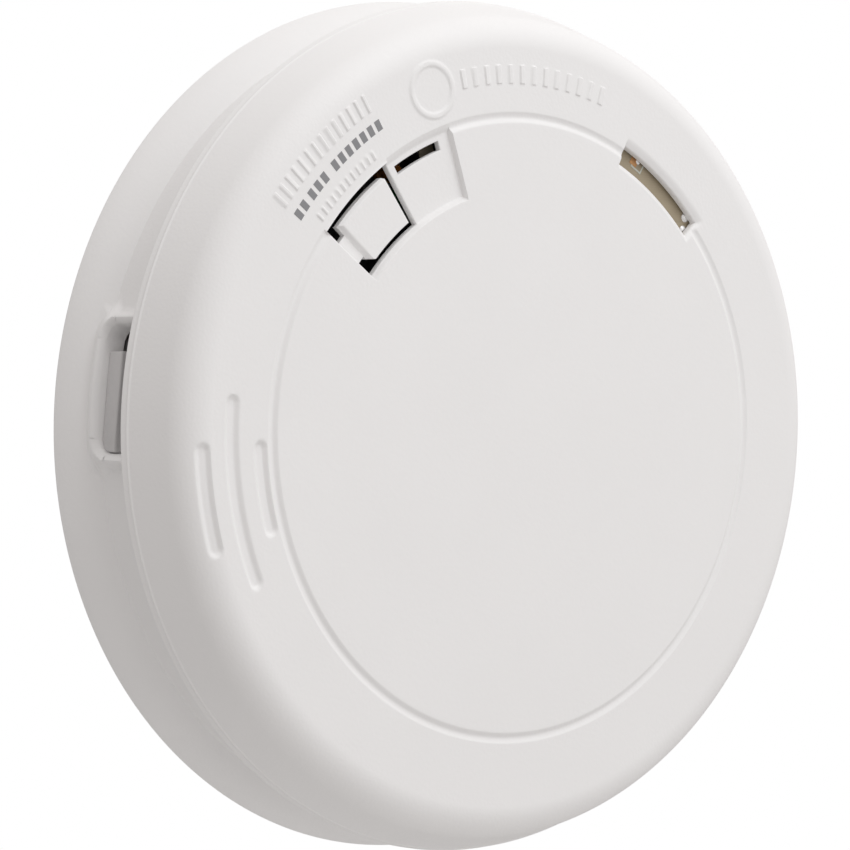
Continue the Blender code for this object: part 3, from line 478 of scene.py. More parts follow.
# Colour, roughness, metallic, size and depth of the grain, and options, for each of the record's slots and
# for the finishes that have no slot.
SHELL_WHITE = (0.9, 0.892, 0.89)
PEBBLED = {"pebbled": True, "spread": 0.006, "wear": 0.0}
ALONG, UP = (8, 1, 1), (1, 1, 8)
SURFACES = {
    "shell_plastic": (SHELL_WHITE, 0.5, 0.0, 0.5 * MM, 0.02 * MM, PEBBLED),
    "slider_plastic": ((0.6, 0.59, 0.59), 0.5, 0.0, 0.4 * MM, 0.01 * MM, {"wear": 0.3}),
    "lever_plastic": ((0.6, 0.6, 0.58), 0.45, 0.0, 0.4 * MM, 0.01 * MM, {}),
    "label_film": ((0.75, 0.75, 0.74), 0.55, 0.0, 0.2 * MM, 0.004 * MM, {"spread": 0.02}),
    "black_moulding": ((0.02, 0.02, 0.022), 0.5, 0.0, 0.3 * MM, 0.012 * MM, {"spread": 0.25, "wear": 0.3}),
    "chip_resin": ((0.022, 0.022, 0.023), 0.6, 0.0, 0.15 * MM, 0.008 * MM, {"spread": 0.3, "wear": 0.2}),
    "plunger_plastic": ((0.45, 0.06, 0.04), 0.4, 0.0, 0.3 * MM, 0.006 * MM, {"wear": 0.2}),
    "red_lens": ((0.24, 0.09, 0.02), 0.2, 0.0, 0.5 * MM, 0.003 * MM, {"clear": 0.2, "coat": 0.5}),
    "green_lens": ((0.06, 0.36, 0.1), 0.15, 0.0, 0.5 * MM, 0.003 * MM, {"clear": 0.5, "coat": 0.5}),
    "spacer_plastic": ((0.46, 0.4, 0.3), 0.55, 0.0, 0.3 * MM, 0.01 * MM, {"spread": 0.1}),
    "emitter_lens": ((0.1, 0.12, 0.3), 0.12, 0.0, 0.5 * MM, 0.003 * MM, {"clear": 0.6, "coat": 0.5}),
    "photodiode_lens": ((0.02, 0.02, 0.03), 0.12, 0.0, 0.5 * MM, 0.003 * MM, {"clear": 0.2, "coat": 0.6}),
    "steel": ((0.6, 0.6, 0.62), 0.32, 1.0, 0.25 * MM, 0.006 * MM, {"stretch": (1, 6, 1), "spread": 0.1}),
    "nickel_strip": ((0.62, 0.6, 0.56), 0.3, 1.0, 0.3 * MM, 0.005 * MM, {"stretch": ALONG, "spread": 0.08}),
    "brass_disc": ((0.7, 0.5, 0.2), 0.32, 1.0, 0.3 * MM, 0.005 * MM, {"stretch": ALONG, "spread": 0.12}),
    "contact_bronze": ((0.72, 0.55, 0.3), 0.3, 1.0, 0.25 * MM, 0.005 * MM, {"stretch": UP, "spread": 0.1}),
    "piezo_ceramic": ((0.75, 0.75, 0.72), 0.4, 0.3, 0.3 * MM, 0.006 * MM, {"spread": 0.08}),
    "horn_plastic": ((0.6, 0.58, 0.5), 0.55, 0.0, 0.4 * MM, 0.012 * MM, {"wear": 0.15}),
    "battery_sleeve": ((0.05, 0.07, 0.2), 0.3, 0.0, 0.8 * MM, 0.01 * MM, {"coat": 0.4, "spread": 0.12}),
    "capacitor_sleeve": ((0.03, 0.05, 0.16), 0.3, 0.0, 0.8 * MM, 0.01 * MM, {"coat": 0.4, "spread": 0.12}),
    "ferrite": ((0.05, 0.045, 0.04), 0.65, 0.0, 0.2 * MM, 0.012 * MM, {"spread": 0.2, "wear": 0.2}),
    "printed_ink": ((0.27, 0.27, 0.28), 0.6, 0.0, 0.2 * MM, 0.004 * MM, {"spread": 0.06}),
    "solder": ((0.95, 0.95, 0.95), 0.25, 0.6, 0.5 * MM, 0.01 * MM, {"spread": 0.1}),
    "bare_copper": ((0.5, 0.27, 0.12), 0.45, 0.6, 0.3 * MM, 0.006 * MM, {"spread": 0.15}),
    "screen_print": ((0.55, 0.56, 0.5), 0.6, 0.0, 0.2 * MM, 0.004 * MM, {"spread": 0.08}),
}


def make_board_surface():
    """Olive solder mask over a glass weave, with the traces' faint ridges."""
    surface = Surface("board_laminate")
    weave = surface.tree.nodes.new("ShaderNodeTexBrick")
    scaled = surface.node("ShaderNodeMapping", Vector=surface.place, Rotation=(math.radians(90), 0, 0))
    surface.link(scaled.outputs[0], weave.inputs["Vector"])
    weave.inputs["Scale"].default_value = 1 / (1.6 * MM)
    weave.inputs["Mortar Size"].default_value = 0.03
    mottled = surface.mix(
        surface.remap(surface.noise(9 * MM, 3.0), 0.3, 0.7, 0.0, 1.0),
        (0.34, 0.28, 0.19, 1.0),
        (0.39, 0.325, 0.225, 1.0),
    )
    threads = surface.remap(weave.outputs["Fac"], 0.0, 1.0, 0.0, 0.12)
    surface.colour(surface.mix(threads, mottled, (0.2, 0.17, 0.115, 1.0)))
    surface.gloss(surface.noise(0.5 * MM), 0.38, 0.5)
    surface.bump(weave.outputs["Fac"], 0.006 * MM)
    return surface.made


materials = {name: make_surface(name, *look) for name, look in SURFACES.items()}
materials["board_laminate"] = make_board_surface()


def paint_frame():
    for name, obj in frame["nodes"].items():
        obj.data.materials.clear()
        obj.data.materials.append(materials[slot_of[name]])


# ---- front cover ----


def cover_rows():
    """The cover's turned profile: for each row its radius, height and outward direction."""
    hole_edges = sorted({*POCKET[:2], *LED_SLOT[:2], *SOUND_SLOT[:2], *BUTTON_HOLE[:2]})
    zones = (
        (38.0 * MM, 48.8 * MM, 0.5 * MM),
        (38.1 * MM, 39.4 * MM, 0.12 * MM),
        (GROOVE_R - 1.3 * MM, GROOVE_R + 1.3 * MM, 0.1 * MM),
        (GROOVE_R + 1.5 * MM, CORNER_START, 0.2 * MM),
    )
    offsets = [side * step * MM for side in (-1, 1) for step in (0.08, 0.18, 0.3)]
    edges = edge_lines(hole_edges, offsets) + edge_lines(SOUND_BAY[:2], (0.04 * MM, -0.04 * MM))
    radii = stations(0.0, CORNER_START, 4 * MM, zones, edges, near=0.035 * MM)
    flat = [(r, FACE - RING_DROP * smooth(r, GROOVE_R, GROOVE_R + GROOVE_HALF), 0.0) for r in radii]

    corner_height = FACE - RING_DROP - CORNER_RADIUS
    corner = []
    for turn in np.linspace(0, CORNER_TURN, 38)[1:]:
        a = math.radians(turn)
        r = CORNER_START + CORNER_RADIUS * math.sin(a)
        corner.append((r, corner_height + CORNER_RADIUS * math.cos(a), turn))

    top_r, top_h, _ = corner[-1]
    edge_r, edge_h = LIP_R, LIP + 0.3 * MM
    length = math.hypot(edge_r - top_r, edge_h - top_h)
    bead = length - BEAD_FROM_LIP
    marks = stations(0, length, 0.6 * MM, ((bead - 0.6 * MM, length, 0.12 * MM),))[1:]
    wall_turn = math.degrees(math.atan2(top_h - edge_h, edge_r - top_r))
    wall = [
        (top_r + (edge_r - top_r) * m / length, top_h + (edge_h - top_h) * m / length, wall_turn)
        for m in marks
    ]
    lip = [(LIP_R - 0.3 * MM * (1 - math.cos(a)), LIP + 0.3 * MM * (1 - math.sin(a))) for a in (0.5, 1.0)]
    rows = np.array(flat + corner + wall)
    rows = np.vstack([rows, [(r, h, 90.0) for r, h in lip + [(LIP_R - 0.3 * MM, LIP)]]])
    from_bead = np.concatenate([np.full(len(flat) + len(corner), 1.0), bead - marks, [1.0] * 3])
    return rows, from_bead


def cover_columns():
    """Angles of the cover's grid: close where the face has slots, marks and grooves."""
    zones = ((39.0, 67.0, 0.3), (69.5, 146.0, 0.24), (171.5, 206.5, 0.3))
    ends = sorted({*SOUND_SLOT[2:], *POCKET[2:], *LED_SLOT[2:], *BUTTON_HOLE[2:]})
    offsets = [side * step for side in (-1, 1) for step in (0.1, 0.22, 0.36)]
    edges = edge_lines(ends, offsets) + edge_lines(SOUND_BAY[2:], (0.04, -0.04))
    return stations(0.0, 360.0, 1.25, zones, edges, near=0.045)[:-1]


def distance_to_arc(radius, angle, arc_radius, start, end):
    """Distance of plan points to a stretch of a circle."""
    x, y = radius * np.cos(np.radians(angle)), radius * np.sin(np.radians(angle))
    nearest = np.radians(np.clip(angle, start, end))
    return np.hypot(x - arc_radius * np.cos(nearest), y - arc_radius * np.sin(nearest))


def recess(distance, half, depth, wall, shoulder):
    """A recess with a flat bed, a straight drafted wall, a fillet at its foot and a soft shoulder."""
    inside = half - distance
    slope = np.clip((inside + shoulder) / (wall + shoulder), 0, 1)
    return depth * (0.35 * slope + 0.65 * slope * slope * (3 - 2 * slope))


def pocket_depth(radius, angle):
    """The sunk panel: drafted walls, and a soft outer slope that is steep beside the test button."""
    inner, outer, start, end = POCKET
    along = np.pi / 180 * radius
    by_button = angle > BUTTON_HOLE[2] - 0.05
    outer_wall = np.where(
        by_button, ramp(BUTTON_HOLE[1] + 0.06 * MM - radius, 0.05 * MM), ramp(outer - radius, 1.3 * MM)
    )
    walls = [
        ramp(radius - inner, 0.7 * MM),
        outer_wall,
        ramp((angle - start) * along, 0.25 * MM),
        ramp((end + 0.1 - angle) * along, 0.1 * MM),
    ]
    return POCKET_DEPTH * np.minimum.reduce(walls)


def raised_marks(radius, angle):
    """Plain shapes in the places of the face's moulded marks: a ring and three rows of ribs."""
    badge = polar(56.7 * MM, 109.7)
    x, y = radius * np.cos(np.radians(angle)), radius * np.sin(np.radians(angle))
    from_ring = np.abs(np.hypot(x - badge[0], y - badge[1]) - 4.1 * MM)
    height = MARK_HEIGHT * smooth(0.62 * MM - from_ring, 0, 0.35 * MM)
    for first, last, step, low, high, half in RIB_ROWS:
        across = np.maximum(low - radius, radius - high)
        turn = np.abs((angle - first + step / 2) % step - step / 2) * np.pi / 180 * radius
        inside = np.minimum(-across, half - turn)
        in_row = (angle > first - step / 2) & (angle < last + step / 2)
        height = np.maximum(height, np.where(in_row, MARK_HEIGHT * smooth(inside, 0, 0.22 * MM), 0))
    return height


def slot_chamfer(radius, angle):
    """The soft slopes that run down to the sound slot on its inner, outer and lower right sides."""
    inner, outer, start, end = SOUND_SLOT
    along = np.pi / 180 * radius
    beyond_left = np.clip((angle - end) * along / (0.25 * MM), 0, 1)
    sides = np.minimum.reduce([
        1 - smooth(inner - radius, -0.2 * MM, 1.0 * MM),
        1 - smooth(radius - outer, -0.8 * MM, 1.5 * MM),
        1 - smooth((start - angle) * along, -0.3 * MM, 0.95 * MM),
    ])
    return SOUND_SLOPE_DEPTH * np.clip(sides, 0, 1) * (1 - beyond_left)


def cover_relief(radius, angle):
    """How far the cover's outer skin stands proud of its turned profile; negative in a groove."""
    depth = recess(np.abs(radius - GROOVE_R), GROOVE_HALF, GROOVE_DEPTH, GROOVE_WALL, GROOVE_SHOULDER)
    in_pocket = (angle > POCKET[2] + 0.3) & (angle < POCKET[3] + 0.2)
    depth = np.where(in_pocket, 0, depth)
    for wave_radius, start, end in WAVES:
        cap = math.degrees(WAVE_HALF / wave_radius)
        distance = distance_to_arc(radius, angle, wave_radius, start + cap, end - cap)
        depth = np.maximum(depth, recess(distance, WAVE_HALF, WAVE_DEPTH, WAVE_WALL, WAVE_SHOULDER))
    depth = np.maximum(depth, pocket_depth(radius, angle))
    depth = np.maximum(depth, slot_chamfer(radius, angle))
    for hole, fillet in ((SOUND_SLOT, 0.15 * MM), (LED_SLOT, 0.14 * MM)):
        depth = depth + round_over(outside_sector(radius, angle, hole), fillet)
    beside = (angle > BUTTON_HOLE[3] - 0.01) | (angle < BUTTON_HOLE[2] + 0.01)
    depth = depth + round_over(np.where(beside, outside_sector(radius, angle, BUTTON_HOLE), MM), 0.28 * MM)
    return raised_marks(radius, angle) - depth


def cover_thickness(radius, angle):
    """Wall thickness below the turned profile: less over the sounder board, more under the pocket."""
    over_bay = outside_sector(radius, angle, SOUND_BAY) < 0.01 * MM
    under_pocket = outside_sector(radius, angle, POCKET) < 1.0 * MM
    thick = np.full(radius.shape, COVER_WALL)
    thick[under_pocket] = POCKET_DEPTH + POCKET_WALL
    thick[over_bay] = SOUND_WALL - RING_DROP
    return thick


def make_cover():
    rows, from_bead = cover_rows()
    columns = cover_columns()
    radius, angle = np.meshgrid(rows[:, 0], columns, indexing="ij")
    height = per_row(rows[:, 1], columns)
    turn = np.radians(per_row(rows[:, 2], columns))
    bead = 0.13 * MM * smooth(0.3 * MM - np.abs(from_bead), 0, 0.25 * MM)
    proud = cover_relief(radius, angle) + bead[:, None]
    thick = np.where(turn > 0, LIP_WALL, cover_thickness(radius, angle))
    thick = np.where(radius > CORNER_START - MM, LIP_WALL, thick)
    outer = plan_points(radius + proud * np.sin(turn), angle, height + proud * np.cos(turn))
    inner_height = np.maximum(height - thick * np.cos(turn), LIP)
    inner = plan_points(radius - thick * np.sin(turn), angle, inner_height)
    lip_inner = np.full((3, len(columns)), LIP_R - LIP_WALL + 0.1 * MM)
    lip_height = LIP + np.array([[0.2], [0.1], [0.0]]) * MM
    inner[-3:] = plan_points(lip_inner, angle[-3:], lip_height)
    middle_r, middle_a = cell_middles(rows[:, 0], columns)
    kept = np.ones((len(rows) - 1, len(columns)), bool)
    for hole in (SOUND_SLOT, LED_SLOT, BUTTON_HOLE):
        kept &= ~in_sector(middle_r, middle_a, hole)
    mesh = shell("cover_shell", outer, inner, kept, centre="first")
    piece("cover_shell", mesh, "front_cover")


def make_snap_legs():
    for number, angle in enumerate(SNAP_ANGLES, start=1):
        leg = block(60 * MM, 61.6 * MM, -4 * MM, 4 * MM, FACE - 17 * MM, FACE - 2.5 * MM, 0.4 * MM)
        barb_side = [(61 * MM, FACE - 16.9 * MM), (61.4 * MM, FACE - 17 * MM), (62.9 * MM, FACE - 15.6 * MM)]
        barb_side += [(62.9 * MM, FACE - 15.1 * MM), (61 * MM, FACE - 14.9 * MM)]
        barb = prism(barb_side, -3.9 * MM, 3.9 * MM, 0.15 * MM)
        barb.transform(Matrix.Rotation(math.radians(90), 4, "X"))
        piece(f"cover_snap_leg_{number}", at_angle(join([leg, barb]), angle), "front_cover")


def make_printed_dashes():
    """A row of plain printed dashes above the test button."""
    surface_height = FACE - RING_DROP
    middle, half = 55.9 * MM, 0.85 * MM
    dashes = []
    for first, count in ((121.7, 7), (135.4, 3), (141.3, 2)):
        for number in range(count):
            start = first + 1.8 * number
            outline = sector_outline(middle - half, middle + half, start, start + 1.1, 2)
            dashes.append(prism(outline, surface_height - 0.02 * MM, surface_height + 0.03 * MM))
    piece("printed_dashes", join(dashes), "front_cover", "slider_plastic", "printed_ink", hides=False)


# ---- test button ----


def make_button():
    """The key: a bevelled outer edge, a slope down to the tab on its left, two cut corners, and its stem."""
    inner, outer, start, end = BUTTON
    tab_inner, tab_outer, _, tab_end = BUTTON_TAB
    steps = [step * MM for step in (0.07, 0.16, 0.3, 0.45, 0.6, 0.8, 1.0)]
    lines = [inner + o for o in steps] + [outer - o for o in steps] + [tab_inner, tab_outer, inner, outer]
    radii = stations(inner, outer, 0.4 * MM, edges=lines, near=0.03 * MM)
    turns = [math.degrees(step / (44 * MM)) for step in steps]
    lines = [start + t for t in turns] + [end - t for t in turns] + [end, start, tab_end]
    columns = stations(start, tab_end, 0.5, edges=lines, near=0.04)
    radius, angle = np.meshgrid(radii, columns, indexing="ij")
    along = np.pi / 180 * radius
    from_left = (end - angle) * along
    from_right = (angle - start) * along
    bevel = 0.45 * MM * (1 - ramp(outer - radius, 0.58 * MM))
    slope = TAB_DROP * (1 - ramp(from_left, 0.75 * MM))
    fillet = round_over(np.minimum(radius - inner, from_right), 0.16 * MM)
    height = BUTTON_TOP - np.maximum.reduce([bevel, slope, fillet])
    on_tab = angle > end + 1e-6
    height = np.where(on_tab, BUTTON_TOP - TAB_DROP, height)
    tab_under = BUTTON_TOP - TAB_DROP - TAB_THICK
    underside = np.where(angle > end - 1e-6, tab_under, BUTTON_TOP - BUTTON_THICK)
    middle_r = (radius[:-1, :-1] + radius[1:, :-1]) / 2
    middle_a = (angle[:-1, :-1] + angle[:-1, 1:]) / 2
    kept = (middle_a < end) | ((middle_r > tab_inner) & (middle_r < tab_outer))
    cuts = ((outer, from_right, 0.4 * MM, 1), (inner, from_left, 1.1 * MM, -1))
    for corner_r, from_side, size, side in cuts:
        cut = np.clip(size - np.abs(radius - corner_r) - from_side, 0, None) * ~on_tab
        angle = angle + side * np.degrees(cut / radius)
    top, bottom = plan_points(radius, angle, height), plan_points(radius, angle, underside)
    key = shell("button", top, bottom, kept, ring=False)
    stem_outline = arc(1.4 * MM, 0, 345, 23, plan_centre("tact_switch_plunger"))
    stem_foot = front_of("tact_switch_plunger") + 0.25 * MM
    stem = prism(stem_outline, stem_foot, BUTTON_TOP - 0.9 * MM, 0.15 * MM)
    piece("button_key", join([key, stem]), "test_button")


# ---- back housing ----


def housing_rows():
    """Matching outer and inner points of the housing's section, from the collar's top to the axis."""
    rim = edge_arc(COLLAR_R, COLLAR_TOP, 0.4 * MM, (0, 0.8))
    edges = edge_lines([WINDOW_BACK], [o * MM for o in (-0.25, -0.12, 0.12, 0.25)])
    edges += [LIP - 0.3 * MM, LIP - 0.36 * MM]
    collar = stations(CREASE, COLLAR_TOP - 0.4 * MM, 0.27 * MM, edges=edges, near=0.04 * MM)[::-1]
    control = (FLANGE_R - 1.0 * MM, CREASE - 2.7 * MM)
    foot = (FLANGE_R, FLANGE_TIP)
    flange = []
    for t in np.linspace(0, 1, 34)[1:]:
        weights = ((1 - t) ** 2, 2 * t * (1 - t), t * t)
        points = ((COLLAR_R, CREASE), control, foot)
        flange.append(tuple(sum(w * p[axis] for w, p in zip(weights, points)) for axis in (0, 1)))
    edge = [
        (FLANGE_R - 0.09 * MM, FLANGE_TIP - 0.35 * MM),
        (FLANGE_R - 0.3 * MM, FLANGE_TIP - 0.65 * MM),
        (FLANGE_R - 0.6 * MM, FLANGE_TIP - 0.95 * MM),
        (FLANGE_UNDER_R + 0.9 * MM, FLANGE_EDGE + 1.5 * MM),
        (FLANGE_UNDER_R, FLANGE_EDGE + 0.4 * MM),
        (FLANGE_UNDER_R - 0.2 * MM, FLANGE_EDGE + 0.12 * MM),
        (FLANGE_UNDER_R - 0.5 * MM, FLANGE_EDGE),
    ]
    under = [(FLANGE_INNER_R + 0.4 * MM, FLANGE_EDGE), (FLANGE_INNER_R + 0.2 * MM, FLANGE_EDGE + 0.2 * MM)]
    recess = [(FLANGE_INNER_R, FLOOR_BACK - 0.4 * MM), (FLANGE_INNER_R - 0.4 * MM, FLOOR_BACK)]
    floor = [(r, FLOOR_BACK) for r in (60 * MM, 45 * MM, 30 * MM, 15 * MM, 0.0)]
    outer = rim + [(COLLAR_R, h) for h in collar] + flange + edge + under + recess + floor

    inner = [(COLLAR_INNER, COLLAR_TOP)] * 2
    inner += [(COLLAR_INNER, max(h, CREASE + 0.4 * MM)) for h in collar[:-1]]
    inner.append((COLLAR_INNER, CREASE + 0.3 * MM))
    slope = len(flange) + len(edge) + len(under)
    for t in np.linspace(0, 1, slope + 1)[1:]:
        slope_height = CREASE + 0.3 * MM - (CREASE - FLOOR_TOP - 0.6 * MM) * t
        inner.append((COLLAR_INNER + 2.7 * MM * t ** 0.7, slope_height))
    inner += [(COLLAR_R + 0.8 * MM, FLOOR_TOP + 0.3 * MM), (COLLAR_R + 0.2 * MM, FLOOR_TOP)]
    inner += [(r, FLOOR_TOP) for r, _ in floor]
    return np.array(outer), np.array(inner)


def outside_window(along, height):
    """Signed distance outside the window's outline, which is open at the top and has round lower corners."""
    across = np.abs(along) - (WINDOW_HALF - WINDOW_CORNER)
    below = (WINDOW_BACK + WINDOW_CORNER) - height
    outside = np.hypot(np.maximum(across, 0), np.maximum(below, 0))
    return outside + np.minimum(np.maximum(across, below), 0) - WINDOW_CORNER


def rounded_corner(along, height):
    """Moves grid points near the window's square lower corners so that its outline turns on a radius."""
    side = np.sign(along)
    centre_a = WINDOW_HALF - WINDOW_CORNER
    centre_h = WINDOW_BACK + WINDOW_CORNER
    a, b = np.abs(along) - centre_a, centre_h - height
    inside = (a > 0) & (b > 0)
    reach = np.maximum(a, b)
    length = np.hypot(a, b) + 1e-9
    pull = np.clip(1 - np.maximum(reach - WINDOW_CORNER, 0) / (3 * MM), 0, 1)
    scale = np.where(inside, 1 + pull * (np.minimum(reach, WINDOW_CORNER) / length - 1), 1)
    return side * (centre_a + a * scale) * (a > 0) + along * (a <= 0), centre_h - b * scale


def bezel_radius(along, height):
    """The raised U: a crest close to the opening, and a soft slope away from it; 0 where there is none."""
    low = smooth(WINDOW_BACK + 1.0 * MM - height, 0, 2.5 * MM)
    reach = BEZEL_REACH + BEZEL_FOOT * low
    distance = outside_window(along, height)
    lip_round = np.clip(1 - distance / BEZEL_ROUND, 0, 1)
    crest = (1 - 0.35 * lip_round ** 2) * (1 - smooth(distance, BEZEL_CREST, reach))
    inside = (distance > -0.5 * MM) & (distance < reach) & (height < LIP - 0.33 * MM)
    return np.where(inside, COLLAR_R - BEZEL_BLEND + (BEZEL_HEIGHT + BEZEL_BLEND) * crest, 0)


def soft_max(a, b, blend):
    """The larger of two radii, with a fillet of about the blend where they meet."""
    near = np.clip(1 - np.abs(a - b) / blend, 0, 1)
    return np.maximum(a, b) + near * near * blend / 4


def make_housing():
    outer_rows, inner_rows = housing_rows()
    reach = math.degrees((BEZEL_END + 1 * MM) / COLLAR_R)
    half_turn = math.degrees(WINDOW_HALF / COLLAR_R)
    edges = edge_lines([WINDOW_ANGLE - half_turn, WINDOW_ANGLE + half_turn], (-0.22, -0.1, 0.1, 0.22))
    zones = ((WINDOW_ANGLE - reach, WINDOW_ANGLE + reach, 0.23),)
    columns = stations(0.0, 360.0, 1.25, zones, edges, near=0.05)[:-1]
    radius, angle = np.meshgrid(outer_rows[:, 0], columns, indexing="ij")
    height = per_row(outer_rows[:, 1], columns)
    along = np.radians(angle - WINDOW_ANGLE) * COLLAR_R
    above_edge = height > 6 * MM
    by_window = above_edge & (np.abs(along) < BEZEL_END) & (radius > 60 * MM)
    moved_along, moved_height = rounded_corner(along, height)
    moved_along = np.where(by_window, moved_along, along)
    moved_height = np.where(by_window, moved_height, height)
    angle = WINDOW_ANGLE + np.degrees(moved_along / COLLAR_R)
    bezel = np.where(by_window, bezel_radius(moved_along, moved_height), 0)
    radius = np.where(bezel > 0, soft_max(radius, bezel, BEZEL_BLEND), radius)
    radius = np.where(moved_height > LIP - 0.33 * MM, np.minimum(radius, COLLAR_R), radius)
    outer = plan_points(radius, angle, moved_height)
    inner_height = per_row(inner_rows[:, 1], columns)
    inner_height = np.where(by_window & (height > CREASE + 0.5 * MM), moved_height, inner_height)
    inner = plan_points(per_row(inner_rows[:, 0], columns), angle, inner_height)
    middle_h, middle_a = cell_middles(outer_rows[:, 1], columns)
    middle_along = np.radians(middle_a - WINDOW_ANGLE) * COLLAR_R
    on_collar = outer_rows[:-1, 0:1] > 60 * MM
    kept = ~((middle_h > WINDOW_BACK) & on_collar & (np.abs(middle_along) < WINDOW_HALF))
    piece("housing_shell", shell("housing_shell", outer, inner, kept, centre="last"), "back_housing")


def make_housing_details():
    """What is moulded inside and behind the housing: posts, saddles, ledges, rails and twist hooks."""
    for number in (1, 2):
        outline = arc(3.2 * MM, 0, 348.75, 31, plan_centre(f"board_screw_{number}"))
        post = prism(outline, FLOOR_TOP - 0.2 * MM, BOARD_BACK - 0.3 * MM, 0.3 * MM)
        piece(f"board_post_{number}", post, "back_housing")
    cell_low, cell_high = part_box("battery_cell")
    cell_y, cell_h = (cell_low.z + cell_high.z) / 2, -(cell_low.y + cell_high.y) / 2
    cell_r = (cell_high.z - cell_low.z) / 2
    for number, x in enumerate((-11 * MM, 11 * MM), start=1):
        top = cell_h - 2 * MM
        reach = cell_r + 2 * MM
        bed_turn = math.degrees(math.asin(2 * MM / (cell_r + 0.3 * MM)))
        bed = arc(cell_r + 0.3 * MM, -bed_turn, bed_turn - 180, 24, (cell_y, cell_h))
        foot = FLOOR_TOP - 0.2 * MM
        side = [(cell_y - reach, top), (cell_y - reach, foot), (cell_y + reach, foot), (cell_y + reach, top)]
        side += [p for p in bed if p[1] > FLOOR_TOP + 0.15 * MM]
        mesh = prism(side, x - 1 * MM, x + 1 * MM, 0.15 * MM)
        mesh.transform(LIE_ALONG_X)
        piece(f"cell_saddle_{number}", mesh, "back_housing")
    for number, angle in enumerate(SNAP_ANGLES, start=1):
        ledge = block(61.9 * MM, COLLAR_INNER + 0.5 * MM, -5 * MM, 5 * MM, FACE - 14.6 * MM, FACE - 12 * MM)
        piece(f"snap_ledge_{number}", at_angle(ledge, angle), "back_housing")
    for number, y in enumerate((-10 * MM, 10 * MM), start=1):
        rail = block(59.9 * MM, 61.5 * MM, y - 1 * MM, y + 1 * MM, FLOOR_TOP - 0.2 * MM, 18 * MM)
        piece(f"slider_rail_{number}", at_angle(rail, WINDOW_ANGLE), "back_housing")
    for number, angle in enumerate(HOOK_ANGLES, start=1):
        start, end = angle - 3.4, angle + 3.4
        stem = sector_outline(HOOK_R - 1.2 * MM, HOOK_R + 1.2 * MM, start, end, 6)
        head = sector_outline(HOOK_R - 3.0 * MM, HOOK_R + 3.0 * MM, start, end, 6)
        stem_mesh = prism(stem, 1.3 * MM, FLOOR_BACK + 0.2 * MM, 0.15 * MM)
        head_mesh = prism(head, 0.3 * MM, 1.7 * MM, 0.25 * MM)
        piece(f"twist_hook_{number}", join([stem_mesh, head_mesh]), "back_housing")


# ---- wall bracket ----


def make_bracket():
    """A dished plate: a disc on the wall, a raised ring with bayonet slots, and a turned-down rim."""
    disc_r = 39.5 * MM
    plate = 1.6 * MM
    step = 2.0 * MM
    edge = 0.6 * MM
    rim_r = BRACKET_R - 1.5 * MM
    ring_low = BRACKET_RING_TOP - plate
    slots = []
    for angle in HOOK_ANGLES:
        slots.append((HOOK_R - 1.6 * MM, HOOK_R + 1.6 * MM, angle - 3.9, angle + 15.0))
        slots.append((HOOK_R - 3.5 * MM, HOOK_R + 3.5 * MM, angle + 10.4, angle + 19.6))
    offsets = [side * o * MM for side in (-1, 1) for o in (0.1, 0.25)]
    lines = edge_lines(sorted({radius for slot in slots for radius in slot[:2]}), offsets)
    radii = stations(0.0, BRACKET_R - edge, 2 * MM, edges=lines, near=0.05 * MM)
    radii = np.unique(np.append(radii, np.linspace(disc_r - 0.6 * MM, disc_r + step + 1.4 * MM, 15)))
    lines = edge_lines([angle for slot in slots for angle in slot[2:]], (-0.25, -0.1, 0.1, 0.25))
    columns = stations(0.0, 360.0, 1.5, edges=lines, near=0.06)[:-1]

    top_h = plate + (BRACKET_RING_TOP - plate) * smooth(radii, disc_r, disc_r + step)
    low_h = ring_low * smooth(radii, disc_r + 0.6 * MM, disc_r + step + 0.9 * MM)
    rim = edge_arc(BRACKET_R, BRACKET_RING_TOP, edge, (0.4, 0.8, 1.2))
    rim += [(BRACKET_R, BRACKET_RING_TOP - edge), (BRACKET_R, 0.3 * MM), (BRACKET_R - 0.25 * MM, 0.0)]
    rim_inner = [(rim_r, ring_low)] * 3 + [(rim_r, ring_low - 0.1 * MM), (rim_r, 0.3 * MM)]
    rim_inner.append((BRACKET_R - 1.3 * MM, 0.0))
    outer_rows = np.vstack([np.stack([radii, top_h], -1), rim])
    inner_rows = np.vstack([np.stack([np.minimum(radii, rim_r), low_h], -1), rim_inner])
    radius, angle = np.meshgrid(outer_rows[:, 0], columns, indexing="ij")
    drop = sum(round_over(outside_sector(radius, angle, slot), 0.25 * MM) for slot in slots)
    drop = np.minimum(drop, 0.3 * MM)
    outer = plan_points(radius, angle, outer_rows[:, 1:2] - drop)
    inner = plan_points(per_row(inner_rows[:, 0], columns), angle, per_row(inner_rows[:, 1], columns))
    middle_r, middle_a = cell_middles(outer_rows[:, 0], columns)
    kept = np.ones((len(outer_rows) - 1, len(columns)), bool)
    for slot in slots:
        kept &= ~in_sector(middle_r, middle_a, slot)
        kept &= ~in_sector(middle_r, middle_a - 360, slot)
    mesh = shell("bracket_plate", outer, inner, kept, centre="first")
    cut_screw_slots(piece("bracket_plate", mesh, "mounting_bracket"))
    make_bracket_ribs(disc_r + step, ring_low)


